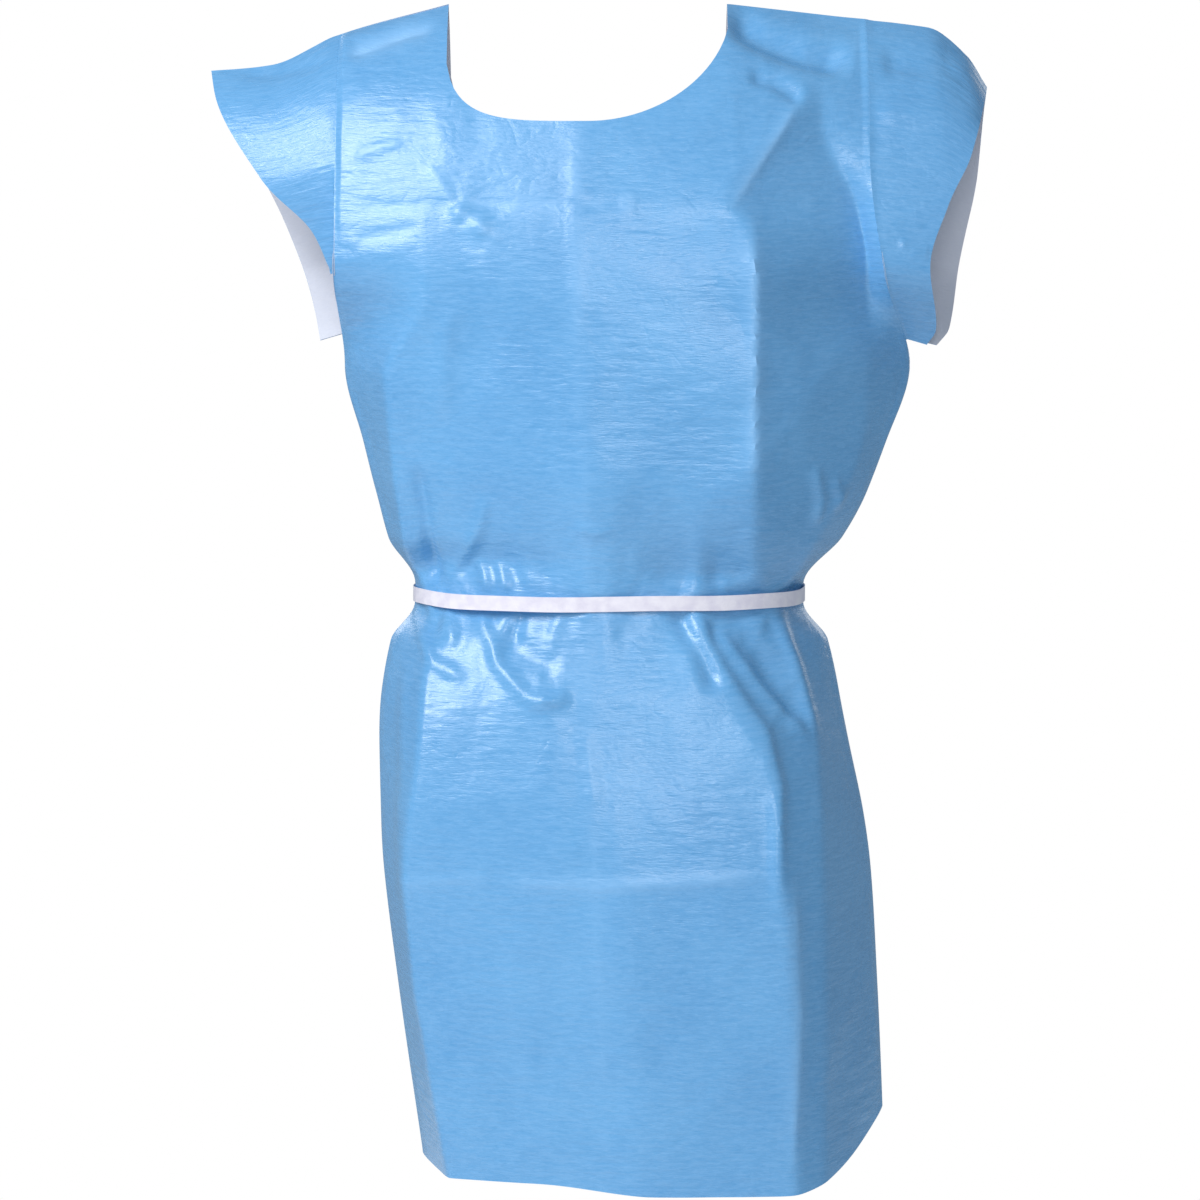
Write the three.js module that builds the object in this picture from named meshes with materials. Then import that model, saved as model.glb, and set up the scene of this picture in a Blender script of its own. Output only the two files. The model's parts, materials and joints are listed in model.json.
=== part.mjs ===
// Disposable patient gown, worn: a wide sheet of blue film on a white tissue lining, with a scooped
// neck, cap sleeves, an opening down the centre back and a white tie round the waist.
// Millimetres, +Z up. The origin is midway between the tops of the shoulders that carry the gown.
// +X is the wearer's left and the front faces -Y.
import * as THREE from "three";

// Plies: the film and the tissue are two thin skins, one inside the other. Insets are from the
// film's outer face.
const FILM = { outside: 0, inside: 0.6 };
const TISSUE = { outside: 0.9, inside: 1.5 };

// Heights.
const HEM_Z = -1024;
const HEM_RISE = { right: 7, left: 52, fromShare: 0.5, power: 2.5 };
const WAIST_Z = -515;
const WAIST_HALF_BAND = 9;
const UNDERARM_Z = -314;
const ARMHOLE_ROUNDING = 95;

// Body of the gown: centre line, half width and depth at a few heights.
const CENTRE = [
  [-1018, 48], [-867, 34], [-714, 20], [-599, 9], [-515, 8], [-425, 19], [-314, 24], [-234, 8],
  [-130, 2], [0, 2],
];
const HALF_WIDTH = [
  [-1018, 206], [-867, 213], [-760, 216], [-650, 208], [-557, 193], [-524, 171], [-506, 171],
  [-466, 200], [-381, 230], [-314, 248], [-234, 237], [-130, 230], [0, 230],
];
const FRONT_DEPTH = [
  [-1014, 150], [-760, 152], [-600, 130], [-524, 108], [-506, 108], [-400, 127], [-250, 128],
  [-120, 108], [0, 84],
];
const BACK_DEPTH = [
  [-1014, 136], [-720, 142], [-600, 118], [-524, 92], [-506, 92], [-400, 108], [-220, 114],
  [-100, 98], [0, 74],
];
const SQUARENESS = [[-1014, 2.9], [-700, 2.9], [-515, 2.3], [0, 2.4]];
const ARMHOLE_OPENNESS = 0.64;

// Shoulders: height of the fold from the neck outwards, and how fast the yoke falls away from it.
const SHOULDER_RIGHT = [[132, 0], [226, -26], [287, -53], [340, -58]];
const SHOULDER_LEFT = [[113, 0], [201, -10], [287, -20], [322, -45], [339, -72]];
const SHOULDER_Y = 12;
const YOKE_FALL = 42;

// Neck.
const NECK = { centre: -10, half: 124, depth: 102, backDepth: 120, squareRight: 4.2, squareLeft: 1.95 };

// Opening down the centre back: its middle and its width at a few heights.
const OPENING_X = [[-1014, 47], [-700, 16], [-515, 6], [0, 2]];
const OPENING_WIDTH = [[-1014, 62], [-700, 40], [-515, 16], [-300, 30], [0, 44]];

// Corner of the back skirt that swings out about a slanting fold.
const CORNER = { topZ: -652, endShare: 0.78, lastShare: 0.7, gap: 6, rows: 6 };

// Cap sleeves: rim of each face from its lower end to the tip of the sleeve, and where the face ends.
const SLEEVE_GAP = 4;
const SLEEVE_FLATTENING = 0.25;
const SLEEVES = {
  left: {
    side: 1,
    tipZ: -72,
    front: {
      end: -292,
      rimEnd: -297,
      rim: [[-297, 286], [-286, 293], [-240, 284], [-197, 299], [-151, 320], [-72, 339]],
    },
    back: { end: -292, rimEnd: -298, rim: [[-298, 296], [-286, 308], [-230, 321], [-150, 335], [-72, 339]] },
  },
  right: {
    side: -1,
    tipZ: -58,
    front: { end: -234, rimEnd: -240, rim: [[-240, 242], [-205, 252], [-153, 293], [-85, 333], [-58, 340]] },
    back: { end: -288, rimEnd: -294, rim: [[-294, 246], [-271, 252], [-193, 280], [-110, 320], [-58, 340]] },
  },
};

// Waist tie: a flat strip round the waist, tied in a bow at the centre back.
const TIE = { width: 13, thickness: 1, clearance: 0.5 };
const KNOT = { width: 24, depth: 10, height: 20, standOff: 1, aroundSteps: 12, upSteps: 8 };
const BOW = { length: 72, thickness: 8, strip: 1, droop: 28, standOff: 13, knotGap: 1, endSteps: 5 };
const TIE_END = { length: 112, spread: 22, startX: 12, standOff: 4.5, knotGap: 1, steps: 8 };

// Finishes.
const filmBlue = new THREE.MeshStandardMaterial({ color: 0x78aadc, roughness: 0.3, metalness: 0 });
const tissueWhite = new THREE.MeshStandardMaterial({ color: 0xd8d8e4, roughness: 0.9, metalness: 0 });
const tieWhite = new THREE.MeshStandardMaterial({ color: 0xebe4f0, roughness: 0.45, metalness: 0 });

// A smooth curve through a few [place, size] points that never overshoots them, flat beyond its ends.
function through(points) {
  const rise = (i) => (points[i + 1][1] - points[i][1]) / (points[i + 1][0] - points[i][0]);
  const slope = points.map((_, i) => {
    if (i === 0) return rise(0);
    if (i === points.length - 1) return rise(i - 1);
    const [before, after] = [rise(i - 1), rise(i)];
    return before * after > 0 ? 2 * before * after / (before + after) : 0;
  });
  return (place) => {
    const last = points.length - 1;
    if (place <= points[0][0]) return points[0][1];
    if (place >= points[last][0]) return points[last][1];
    const i = points.findIndex((p) => p[0] > place) - 1;
    const span = points[i + 1][0] - points[i][0];
    const t = (place - points[i][0]) / span;
    const [t2, t3] = [t * t, t * t * t];
    const sizes = (2 * t3 - 3 * t2 + 1) * points[i][1] + (3 * t2 - 2 * t3) * points[i + 1][1];
    return sizes + span * ((t3 - 2 * t2 + t) * slope[i] + (t3 - t2) * slope[i + 1]);
  };
}

const centre = through(CENTRE);
const halfWidth = through(HALF_WIDTH);
const squareness = through(SQUARENESS);
const openingX = through(OPENING_X);
const openingWidth = through(OPENING_WIDTH);
const shoulder = { left: through(SHOULDER_LEFT), right: through(SHOULDER_RIGHT) };
const smooth = (low, high, x) => THREE.MathUtils.smoothstep(x, low, high);

// Height of the shoulder fold at x.
const shoulderZ = (x) => (x > 0 ? shoulder.left(x) : shoulder.right(-x));

// Height of the neck's edge at x, for a neck of the given depth, or of the shoulder beside it.
function neckZ(x, depth) {
  const across = (x - NECK.centre) / NECK.half;
  if (Math.abs(across) >= 1) return shoulderZ(x);
  const square = across < 0 ? NECK.squareRight : NECK.squareLeft;
  return -depth * (1 - Math.abs(across) ** square) ** (1 / square);
}

// Height of the hem at x: a little higher on the wearer's right, and rounded up to the left side seam.
function hemZ(x) {
  const share = (x - centre(HEM_Z)) / halfWidth(HEM_Z);
  const corner = Math.max(share - HEM_RISE.fromShare, 0) / (1 - HEM_RISE.fromShare);
  const level = HEM_Z + HEM_RISE.right * smooth(0, HEM_RISE.fromShare, -share);
  return level + HEM_RISE.left * corner ** HEM_RISE.power;
}

const frontDepth = through(FRONT_DEPTH);
const backDepth = through(BACK_DEPTH);

// The front (way -1) or back (way 1) of the gown at a share of its half width and a height, on a skin
// inset from the film's outer face. The inset turns from front to back into sideways close to the sides.
const SIDE_INSET_POWER = 8;
function bodyPoint(share, z, way, inset = 0) {
  const x = centre(z) + share * (halfWidth(z) - inset * Math.abs(share) ** (SIDE_INSET_POWER - 1));
  const square = squareness(z);
  const open = ARMHOLE_OPENNESS * smooth(UNDERARM_Z, UNDERARM_Z + ARMHOLE_ROUNDING, z);
  const reach = (1 - open ** square) ** (1 / square);
  const crown = (1 - Math.abs(share * reach) ** square) ** (1 / square);
  const depth = way * ((way < 0 ? frontDepth(z) : backDepth(z)) - inset);
  const below = Math.max(shoulderZ(x) - inset - z, 0);
  const fallen = 1 - Math.exp(-below / YOKE_FALL);
  const foldY = SHOULDER_Y * (1 - fallen) * smooth(UNDERARM_Z, 0, z);
  return new THREE.Vector3(x, foldY + depth * crown * fallen, z);
}

// Shares of the half width at which one half of a panel has its grid lines, from the side to the middle,
// closest together at the steep edge of the neck.
const SHOULDER_SHARES = [1, 0.972, 0.89, CORNER.endShare, CORNER.lastShare];
const NECK_STEPS = 5;
function halfShares(side, middle) {
  const edge = Math.abs((NECK.centre + side * NECK.half - centre(0)) / halfWidth(0));
  const inner = Array.from({ length: NECK_STEPS + 1 }, (_, k) => {
    const turn = Math.sin((1 - k / NECK_STEPS) * Math.PI / 2);
    return middle + (edge - middle) * turn;
  });
  return [...SHOULDER_SHARES, ...inner].map((share) => side * share);
}

// Heights of a column's grid points, from its foot through the waist band to its top.
const SKIRT_ROWS = [0, 0.2, 0.4, 0.6, 0.78, 0.92, 1];
const CHEST_ROWS = [0, 0.1, 0.25, 0.4, 0.53, 0.65, 0.77, 0.87, 0.94, 0.98, 1];
function columnHeights(foot, top) {
  const [low, high] = [WAIST_Z - WAIST_HALF_BAND, WAIST_Z + WAIST_HALF_BAND];
  return [
    ...SKIRT_ROWS.map((share) => THREE.MathUtils.lerp(foot, low, share)),
    ...CHEST_ROWS.map((share) => THREE.MathUtils.lerp(high, top, share)),
  ];
}

// A mesh of the closed solid between two grids of points, its outer and its inner skin.
function skinMesh(name, material, outerGrid, innerGrid) {
  const [columns, rows] = [outerGrid.length, outerGrid[0].length];
  const points = [...outerGrid.flat(), ...innerGrid.flat()];
  const faces = [];
  const quad = (a, b, c, d) => faces.push(a, b, c, a, c, d);
  const outer = (i, j) => i * rows + j;
  const inner = (i, j) => columns * rows + outer(i, j);
  for (let i = 0; i + 1 < columns; i += 1) {
    for (let j = 0; j + 1 < rows; j += 1) {
      quad(outer(i, j), outer(i + 1, j), outer(i + 1, j + 1), outer(i, j + 1));
      quad(inner(i, j), inner(i, j + 1), inner(i + 1, j + 1), inner(i + 1, j));
    }
    quad(outer(i, 0), inner(i, 0), inner(i + 1, 0), outer(i + 1, 0));
    quad(outer(i, rows - 1), outer(i + 1, rows - 1), inner(i + 1, rows - 1), inner(i, rows - 1));
  }
  for (let j = 0; j + 1 < rows; j += 1) {
    quad(outer(0, j), outer(0, j + 1), inner(0, j + 1), inner(0, j));
    quad(outer(columns - 1, j), inner(columns - 1, j), inner(columns - 1, j + 1), outer(columns - 1, j + 1));
  }
  return closedMesh(name, material, points, faces);
}

// A mesh from points and faces, turned so that its faces point outwards.
function closedMesh(name, material, points, faces) {
  let volume = 0;
  for (let k = 0; k < faces.length; k += 3) {
    const [a, b, c] = [points[faces[k]], points[faces[k + 1]], points[faces[k + 2]]];
    volume += a.dot(b.clone().cross(c));
  }
  if (volume < 0) faces.reverse();
  const geometry = new THREE.BufferGeometry().setFromPoints(points);
  geometry.setIndex(faces);
  geometry.computeVertexNormals();
  const mesh = new THREE.Mesh(geometry, material);
  mesh.name = name;
  return mesh;
}

// Both plies of one panel, whose grid of points is a function of the inset.
function addPanel(group, name, gridAt) {
  for (const [ply, material, depth] of [["film", filmBlue, FILM], ["lining", tissueWhite, TISSUE]]) {
    group.add(skinMesh(`${name}_${ply}`, material, gridAt(depth.outside), gridAt(depth.inside)));
  }
}

// The front: one sheet from hem to neck and shoulders.
function frontGrid(inset) {
  const shares = [...halfShares(-1, 0), ...halfShares(1, 0).reverse().slice(1)];
  return shares.map((share) => {
    const top = neckZ(centre(0) + share * halfWidth(0), NECK.depth) - inset;
    return columnHeights(hemZAt(share), top).map((z) => bodyPoint(share, z, -1, inset));
  });
}

// Share of the half width at one edge of the opening, at a height.
const openingShare = (side, z) => (openingX(z) - centre(z) + side * openingWidth(z) / 2) / halfWidth(z);

// Height of the slanting fold of the back skirt's corner at a share of the half width.
function cornerFoldZ(share, footZ) {
  const start = Math.abs(openingShare(Math.sign(share), CORNER.topZ));
  const down = THREE.MathUtils.clamp((Math.abs(share) - start) / (CORNER.endShare - start), 0, 1);
  return THREE.MathUtils.lerp(CORNER.topZ, footZ, down);
}

// The share of each column of one half of the back, as a function of height: the columns between the
// neck and the middle follow the opening's edge.
function backShares(side) {
  const sharesAt = (z) => halfShares(side, side * openingShare(side, z));
  return sharesAt(0).map((_, i) => (z) => sharesAt(z)[i]);
}

const hemZAt = (share) => hemZ(centre(HEM_Z) + share * halfWidth(HEM_Z));

// One half of the back, above its corner's fold.
function backGrid(side, inset) {
  return backShares(side).map((at) => {
    const foot = cornerFoldZ(at(CORNER.topZ), hemZAt(at(HEM_Z)));
    const top = neckZ(centre(0) + at(0) * halfWidth(0), NECK.backDepth) - inset;
    return columnHeights(foot, top).map((z) => bodyPoint(at(z), z, 1, inset));
  });
}

// The corner of the back skirt below its fold.
function cornerGrid(side, inset) {
  return backShares(side).slice(SHOULDER_SHARES.indexOf(CORNER.lastShare)).map((at) => {
    const foot = hemZAt(at(HEM_Z));
    const top = cornerFoldZ(at(CORNER.topZ), foot) - CORNER.gap;
    return Array.from({ length: CORNER.rows + 1 }, (_, j) => {
      const z = THREE.MathUtils.lerp(foot, top, j / CORNER.rows);
      return bodyPoint(at(z), z, 1, inset);
    });
  });
}

// A cap sleeve: one sheet from the front of the armhole over the shoulder to its back.
const SLEEVE_ROWS = 6;
const SLEEVE_ROW_SPREAD = 1.25;
const SLEEVE_STEPS = 4;
function sleeveGrid({ side, tipZ, front, back }, inset) {
  const rimX = { front: through(front.rim), back: through(back.rim) };
  const column = (face, name, way, t) => {
    const topZ = shoulderZ(bodyPoint(side, 0, way).x);
    const body = bodyPoint(side, THREE.MathUtils.lerp(topZ, face.end, t), way);
    const rimZ = THREE.MathUtils.lerp(tipZ, face.rimEnd, t);
    const [insetY, insetZ] = [t > 0 ? way * inset : 0, inset * (1 - t)];
    return Array.from({ length: SLEEVE_STEPS + 1 }, (_, k) => {
      const out = k / SLEEVE_STEPS;
      const x = THREE.MathUtils.lerp(body.x + side * SLEEVE_GAP, side * rimX[name](rimZ), out);
      const bulge = shoulderZ(x) - THREE.MathUtils.lerp(topZ, tipZ, out);
      const y = SHOULDER_Y + (body.y - SHOULDER_Y) * (1 - SLEEVE_FLATTENING * out);
      const z = THREE.MathUtils.lerp(body.z, rimZ, out) + bulge * (1 - t);
      return new THREE.Vector3(x, y - insetY, z - insetZ);
    });
  };
  const shares = Array.from({ length: SLEEVE_ROWS + 1 }, (_, k) => (k / SLEEVE_ROWS) ** SLEEVE_ROW_SPREAD);
  return [
    ...shares.slice(1).reverse().map((t) => column(front, "front", -1, t)),
    column(back, "back", 1, 0),
    ...shares.slice(1).map((t) => column(back, "back", 1, t)),
  ];
}

// Half the gap between the front and the back along the side seams and the shoulder folds.
const SEAM_GAP = 0.25;
const shifted = (p, way) => p.setY(p.y + way * SEAM_GAP);

// The tie's run round the waist: a closed ring of flat strip just clear of the film.
function tieRing() {
  const across = [...halfShares(-1, 0), ...halfShares(1, 0).reverse().slice(1)];
  const backAcross = across.slice(1, -1).reverse();
  const path = [
    ...across.map((share) => shifted(bodyPoint(share, WAIST_Z, -1), -1)),
    ...backAcross.map((share) => shifted(bodyPoint(share, WAIST_Z, 1), 1)),
  ];
  const count = path.length;
  const points = path.flatMap((p, i) => {
    const chord = path[(i + 1) % count].clone().sub(path[(i + count - 1) % count]);
    const outward = new THREE.Vector3(chord.y, -chord.x, 0).normalize();
    const edgesAt = (out) => [-1, 1].map((up) =>
      p.clone().addScaledVector(outward, out).setZ(WAIST_Z + up * TIE.width / 2));
    return [...edgesAt(TIE.clearance), ...edgesAt(TIE.clearance + TIE.thickness)];
  });
  const faces = [];
  const ring = [0, 1, 3, 2];
  for (let i = 0; i < count; i += 1) {
    const next = (i + 1) % count;
    ring.forEach((corner, k) => {
      const [a, b] = [corner, ring[(k + 1) % ring.length]];
      const [here, there] = [ring.length * i, ring.length * next];
      faces.push(here + a, here + b, there + b, here + a, there + b, there + a);
    });
  }
  return closedMesh("waist_tie", tieWhite, points, faces);
}

// Middle of the tie at the centre back.
const backOfWaist = bodyPoint(0, WAIST_Z, 1).add(new THREE.Vector3(0, TIE.clearance + TIE.thickness, 0));

function tieKnot() {
  const geometry = new THREE.SphereGeometry(1 / 2, KNOT.aroundSteps, KNOT.upSteps);
  geometry.scale(KNOT.width, KNOT.depth, KNOT.height);
  const mesh = new THREE.Mesh(geometry, tieWhite);
  mesh.name = "tie_knot";
  mesh.position.copy(backOfWaist).add(new THREE.Vector3(0, KNOT.depth / 2 + KNOT.standOff, 0));
  return mesh;
}

// Outline of a flat loop of strip seen along its width, running along +X from the knot.
function loopOutline(inset) {
  const radius = BOW.thickness / 2 - inset;
  const outline = new THREE.Shape();
  outline.absarc(BOW.thickness / 2, 0, radius, Math.PI / 2, -Math.PI / 2, false);
  outline.absarc(BOW.length - BOW.thickness / 2, 0, radius, -Math.PI / 2, Math.PI / 2, false);
  outline.closePath();
  return outline;
}

function bowLoop(name, side) {
  const outline = loopOutline(0);
  outline.holes.push(loopOutline(BOW.strip));
  const geometry = new THREE.ExtrudeGeometry(outline, {
    depth: TIE.width,
    bevelEnabled: false,
    curveSegments: BOW.endSteps,
  });
  geometry.translate(0, 0, -TIE.width / 2);
  const mesh = new THREE.Mesh(geometry, tieWhite);
  mesh.name = name;
  const pivot = new THREE.Group();
  pivot.rotation.y = THREE.MathUtils.degToRad(side > 0 ? BOW.droop : 180 - BOW.droop);
  const startX = side * (KNOT.width / 2 + BOW.knotGap);
  pivot.position.copy(backOfWaist).add(new THREE.Vector3(startX, BOW.standOff, 0));
  pivot.add(mesh);
  return pivot;
}

// A free end of the tie: a flat strip that hangs from the knot over the flare of the skirt.
function tieEnd(name, side) {
  const gridAt = (standOff) => [-1, 1].map((edge) => Array.from({ length: TIE_END.steps + 1 }, (_, k) => {
    const down = k / TIE_END.steps;
    const z = backOfWaist.z - KNOT.height / 2 - TIE_END.knotGap - down * TIE_END.length;
    const x = backOfWaist.x + side * (TIE_END.startX + TIE_END.spread * down) + edge * TIE.width / 2;
    return new THREE.Vector3(x, Math.max(bodyPoint(0, z, 1).y, backOfWaist.y) + standOff, z);
  }));
  return skinMesh(name, tieWhite, gridAt(TIE_END.standOff + TIE.thickness), gridAt(TIE_END.standOff));
}

const gown = new THREE.Group();

// A group for one face of the gown, held off the side seams and the shoulder folds by the seam gap.
function face(way) {
  const group = new THREE.Group();
  group.position.y = way * SEAM_GAP;
  gown.add(group);
  return group;
}

const [front, back] = [face(-1), face(1)];
addPanel(front, "front", frontGrid);
for (const [name, sleeve] of Object.entries(SLEEVES)) {
  addPanel(back, `back_${name}`, (inset) => backGrid(sleeve.side, inset));
  addPanel(back, `skirt_corner_${name}`, (inset) => cornerGrid(sleeve.side, inset));
  addPanel(gown, `sleeve_${name}`, (inset) => sleeveGrid(sleeve, inset));
  gown.add(bowLoop(`tie_loop_${name}`, sleeve.side));
  gown.add(tieEnd(`tie_end_${name}`, sleeve.side));
}
gown.add(tieRing());
gown.add(tieKnot());

export default gown;
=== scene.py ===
"""Patient gown, worn shape: film and tissue sheets, waist tie and studio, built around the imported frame."""

import json
import logging
import math
from dataclasses import dataclass, field
from enum import Enum
from typing import Any, Callable, Sequence

import bmesh
import bpy
import numpy as np
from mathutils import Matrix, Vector


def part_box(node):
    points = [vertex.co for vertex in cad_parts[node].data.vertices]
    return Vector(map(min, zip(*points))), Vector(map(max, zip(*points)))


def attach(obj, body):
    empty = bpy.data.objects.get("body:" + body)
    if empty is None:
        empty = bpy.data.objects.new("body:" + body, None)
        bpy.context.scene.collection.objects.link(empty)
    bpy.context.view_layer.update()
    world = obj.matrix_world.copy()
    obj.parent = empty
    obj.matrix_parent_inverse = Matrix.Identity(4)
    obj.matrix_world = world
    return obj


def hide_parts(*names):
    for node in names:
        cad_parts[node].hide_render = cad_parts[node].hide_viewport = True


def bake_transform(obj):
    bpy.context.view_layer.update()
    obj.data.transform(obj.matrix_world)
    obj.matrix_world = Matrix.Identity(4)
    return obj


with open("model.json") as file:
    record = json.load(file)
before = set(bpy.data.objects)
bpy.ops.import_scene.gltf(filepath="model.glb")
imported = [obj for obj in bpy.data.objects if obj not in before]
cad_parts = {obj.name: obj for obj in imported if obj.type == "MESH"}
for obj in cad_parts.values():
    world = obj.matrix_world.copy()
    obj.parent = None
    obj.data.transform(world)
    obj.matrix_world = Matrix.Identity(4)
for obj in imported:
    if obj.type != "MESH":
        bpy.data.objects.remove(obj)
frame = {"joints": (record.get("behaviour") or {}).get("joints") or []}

log = logging.getLogger("gown")
Points = Sequence[tuple[float, float]]
MM = 0.001
SHARP_EDGE = math.radians(40)
FOLD_FADE = 0.2
WAVE_CELLS = 256
WAVE_GAIN = 1.5


# ---------------------------------------------------------------- curves and sizes


class Profile:
    """A smooth curve through a few (place, size) points that never overshoots them, flat beyond its ends."""

    def __init__(self, points: Points) -> None:
        """Works out the slopes.

        Args:
            points: places in rising order, each with its size, in metres.
        """
        self.place, self.size = np.array(points, float).T
        rise = np.diff(self.size) / np.diff(self.place)
        slope = np.empty(len(self.place))
        slope[0], slope[-1] = rise[0], rise[-1]
        before, after = rise[:-1], rise[1:]
        both = np.where(np.abs(before + after) > 0, before + after, 1.0)
        slope[1:-1] = np.where(before * after > 0, 2 * before * after / both, 0.0)
        self.slope = slope

    def __call__(self, at: np.ndarray | float) -> np.ndarray:
        """Sizes at the given places.

        Args:
            at: one place or an array of them.

        Returns:
            The sizes, in an array of the same shape.
        """
        x = np.clip(np.asarray(at, float), self.place[0], self.place[-1])
        i = np.clip(np.searchsorted(self.place, x, "right") - 1, 0, len(self.place) - 2)
        span = self.place[i + 1] - self.place[i]
        t = (x - self.place[i]) / span
        t2, t3 = t * t, t * t * t
        return (
            (2 * t3 - 3 * t2 + 1) * self.size[i]
            + (t3 - 2 * t2 + t) * span * self.slope[i]
            + (3 * t2 - 2 * t3) * self.size[i + 1]
            + (t3 - t2) * span * self.slope[i + 1]
        )


def mm_profile(*points: tuple[float, float]) -> Profile:
    """A profile whose places and sizes are given in millimetres."""
    return Profile([(place * MM, size * MM) for place, size in points])


def smoothstep(low: float, high: float, x: np.ndarray) -> np.ndarray:
    """The usual smooth ramp from 0 at low to 1 at high."""
    t = np.clip((x - low) / (high - low), 0.0, 1.0)
    return t * t * (3 - 2 * t)


class Way(Enum):
    """Which face of the gown a sheet belongs to."""

    FRONT = -1
    BACK = 1


@dataclass(frozen=True)
class GownShape:
    """The outer face of the worn gown, in metres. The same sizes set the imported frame."""

    hem_z: float = -1.024
    hem_rise_right: float = 0.007
    hem_rise_left: float = 0.052
    hem_rise_from: float = 0.5
    hem_rise_power: float = 2.5
    waist_z: float = -0.515
    underarm_z: float = -0.314
    armhole_rounding: float = 0.095
    armhole_openness: float = 0.64
    shoulder_y: float = 0.012
    yoke_fall: float = 0.042
    neck_centre: float = -0.010
    neck_half: float = 0.124
    neck_depth: float = 0.102
    back_neck_depth: float = 0.120
    neck_square_right: float = 4.2
    neck_square_left: float = 1.95
    centre: Profile = mm_profile(
        (-1018, 48), (-867, 34), (-714, 20), (-599, 9), (-515, 8), (-425, 19), (-314, 24), (-234, 8),
        (-130, 2), (0, 2),
    )
    half_width: Profile = mm_profile(
        (-1018, 206), (-867, 213), (-760, 216), (-650, 208), (-557, 193), (-524, 171), (-506, 171),
        (-466, 200), (-381, 230), (-314, 248), (-234, 237), (-130, 230), (0, 230),
    )
    front_depth: Profile = mm_profile(
        (-1014, 150), (-760, 152), (-600, 130), (-524, 108), (-506, 108), (-400, 127), (-250, 128),
        (-120, 108), (0, 84),
    )
    back_depth: Profile = mm_profile(
        (-1014, 136), (-720, 142), (-600, 118), (-524, 92), (-506, 92), (-400, 108), (-220, 114),
        (-100, 98), (0, 74),
    )
    squareness: Profile = Profile([(-1.014, 2.9), (-0.7, 2.9), (-0.515, 2.3), (0.0, 2.4)])
    opening_x: Profile = mm_profile((-1014, 47), (-700, 16), (-515, 6), (0, 2))
    opening_width: Profile = mm_profile((-1014, 62), (-700, 40), (-515, 16), (-300, 30), (0, 44))
    shoulder_right: Profile = mm_profile((132, 0), (226, -26), (287, -53), (340, -58))
    shoulder_left: Profile = mm_profile((113, 0), (201, -10), (287, -20), (322, -45), (339, -72))

    def shoulder_z(self, x: np.ndarray) -> np.ndarray:
        """Height of the shoulder fold at x."""
        return np.where(x > 0, self.shoulder_left(x), self.shoulder_right(-x))

    def neck_edge_z(self, x: np.ndarray, way: Way) -> np.ndarray:
        """Height of the neck's edge at x, and of a point far above the gown beside the neck.

        Args:
            x: places across the gown.
            way: front or back.

        Returns:
            Heights in metres.
        """
        across = np.abs(x - self.neck_centre) / self.neck_half
        square = np.where(x < self.neck_centre, self.neck_square_right, self.neck_square_left)
        depth = self.neck_depth if way is Way.FRONT else self.back_neck_depth
        scoop = -depth * np.maximum(1 - np.minimum(across, 1.0) ** square, 0.0) ** (1 / square)
        return np.where(across < 1, scoop, 1.0)

    def hem_edge_z(self, x: np.ndarray) -> np.ndarray:
        """Height of the hem at x: a little higher on the wearer's right, rounded up to the left side."""
        share = (x - self.centre(self.hem_z)) / self.half_width(self.hem_z)
        corner = np.maximum(share - self.hem_rise_from, 0.0) / (1 - self.hem_rise_from)
        level = self.hem_z + self.hem_rise_right * smoothstep(0.0, self.hem_rise_from, -share)
        return level + self.hem_rise_left * corner**self.hem_rise_power

    def opening_edge(self, side: int, z: np.ndarray) -> np.ndarray:
        """x of one edge of the back opening at a height."""
        return self.opening_x(z) + side * self.opening_width(z) / 2

    def body(self, share: np.ndarray, z: np.ndarray, way: Way) -> np.ndarray:
        """Points of the front or the back.

        Args:
            share: places across, from -1 at one side to 1 at the other.
            z: heights.
            way: front or back.

        Returns:
            An array of points, one row for each share.
        """
        x = self.centre(z) + share * self.half_width(z)
        square = self.squareness(z)
        armhole = smoothstep(self.underarm_z, self.underarm_z + self.armhole_rounding, z)
        open_share = self.armhole_openness * armhole
        reach = (1 - open_share**square) ** (1 / square)
        crown = np.maximum(1 - np.minimum(np.abs(share * reach), 1.0) ** square, 0.0) ** (1 / square)
        depth = self.front_depth(z) if way is Way.FRONT else self.back_depth(z)
        below = np.maximum(self.shoulder_z(x) - z, 0.0)
        fallen = 1 - np.exp(-below / self.yoke_fall)
        fold_y = self.shoulder_y * (1 - fallen) * smoothstep(self.underarm_z, 0.0, z)
        return np.stack([x, fold_y + way.value * depth * crown * fallen, z], -1)


SHAPE = GownShape()


# ---------------------------------------------------------------- folds and creases


class FoldKind(Enum):
    """Cross-section of a fold."""

    CREASE = "a sharp pressed line"
    ROLL = "a soft round ridge"


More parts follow.
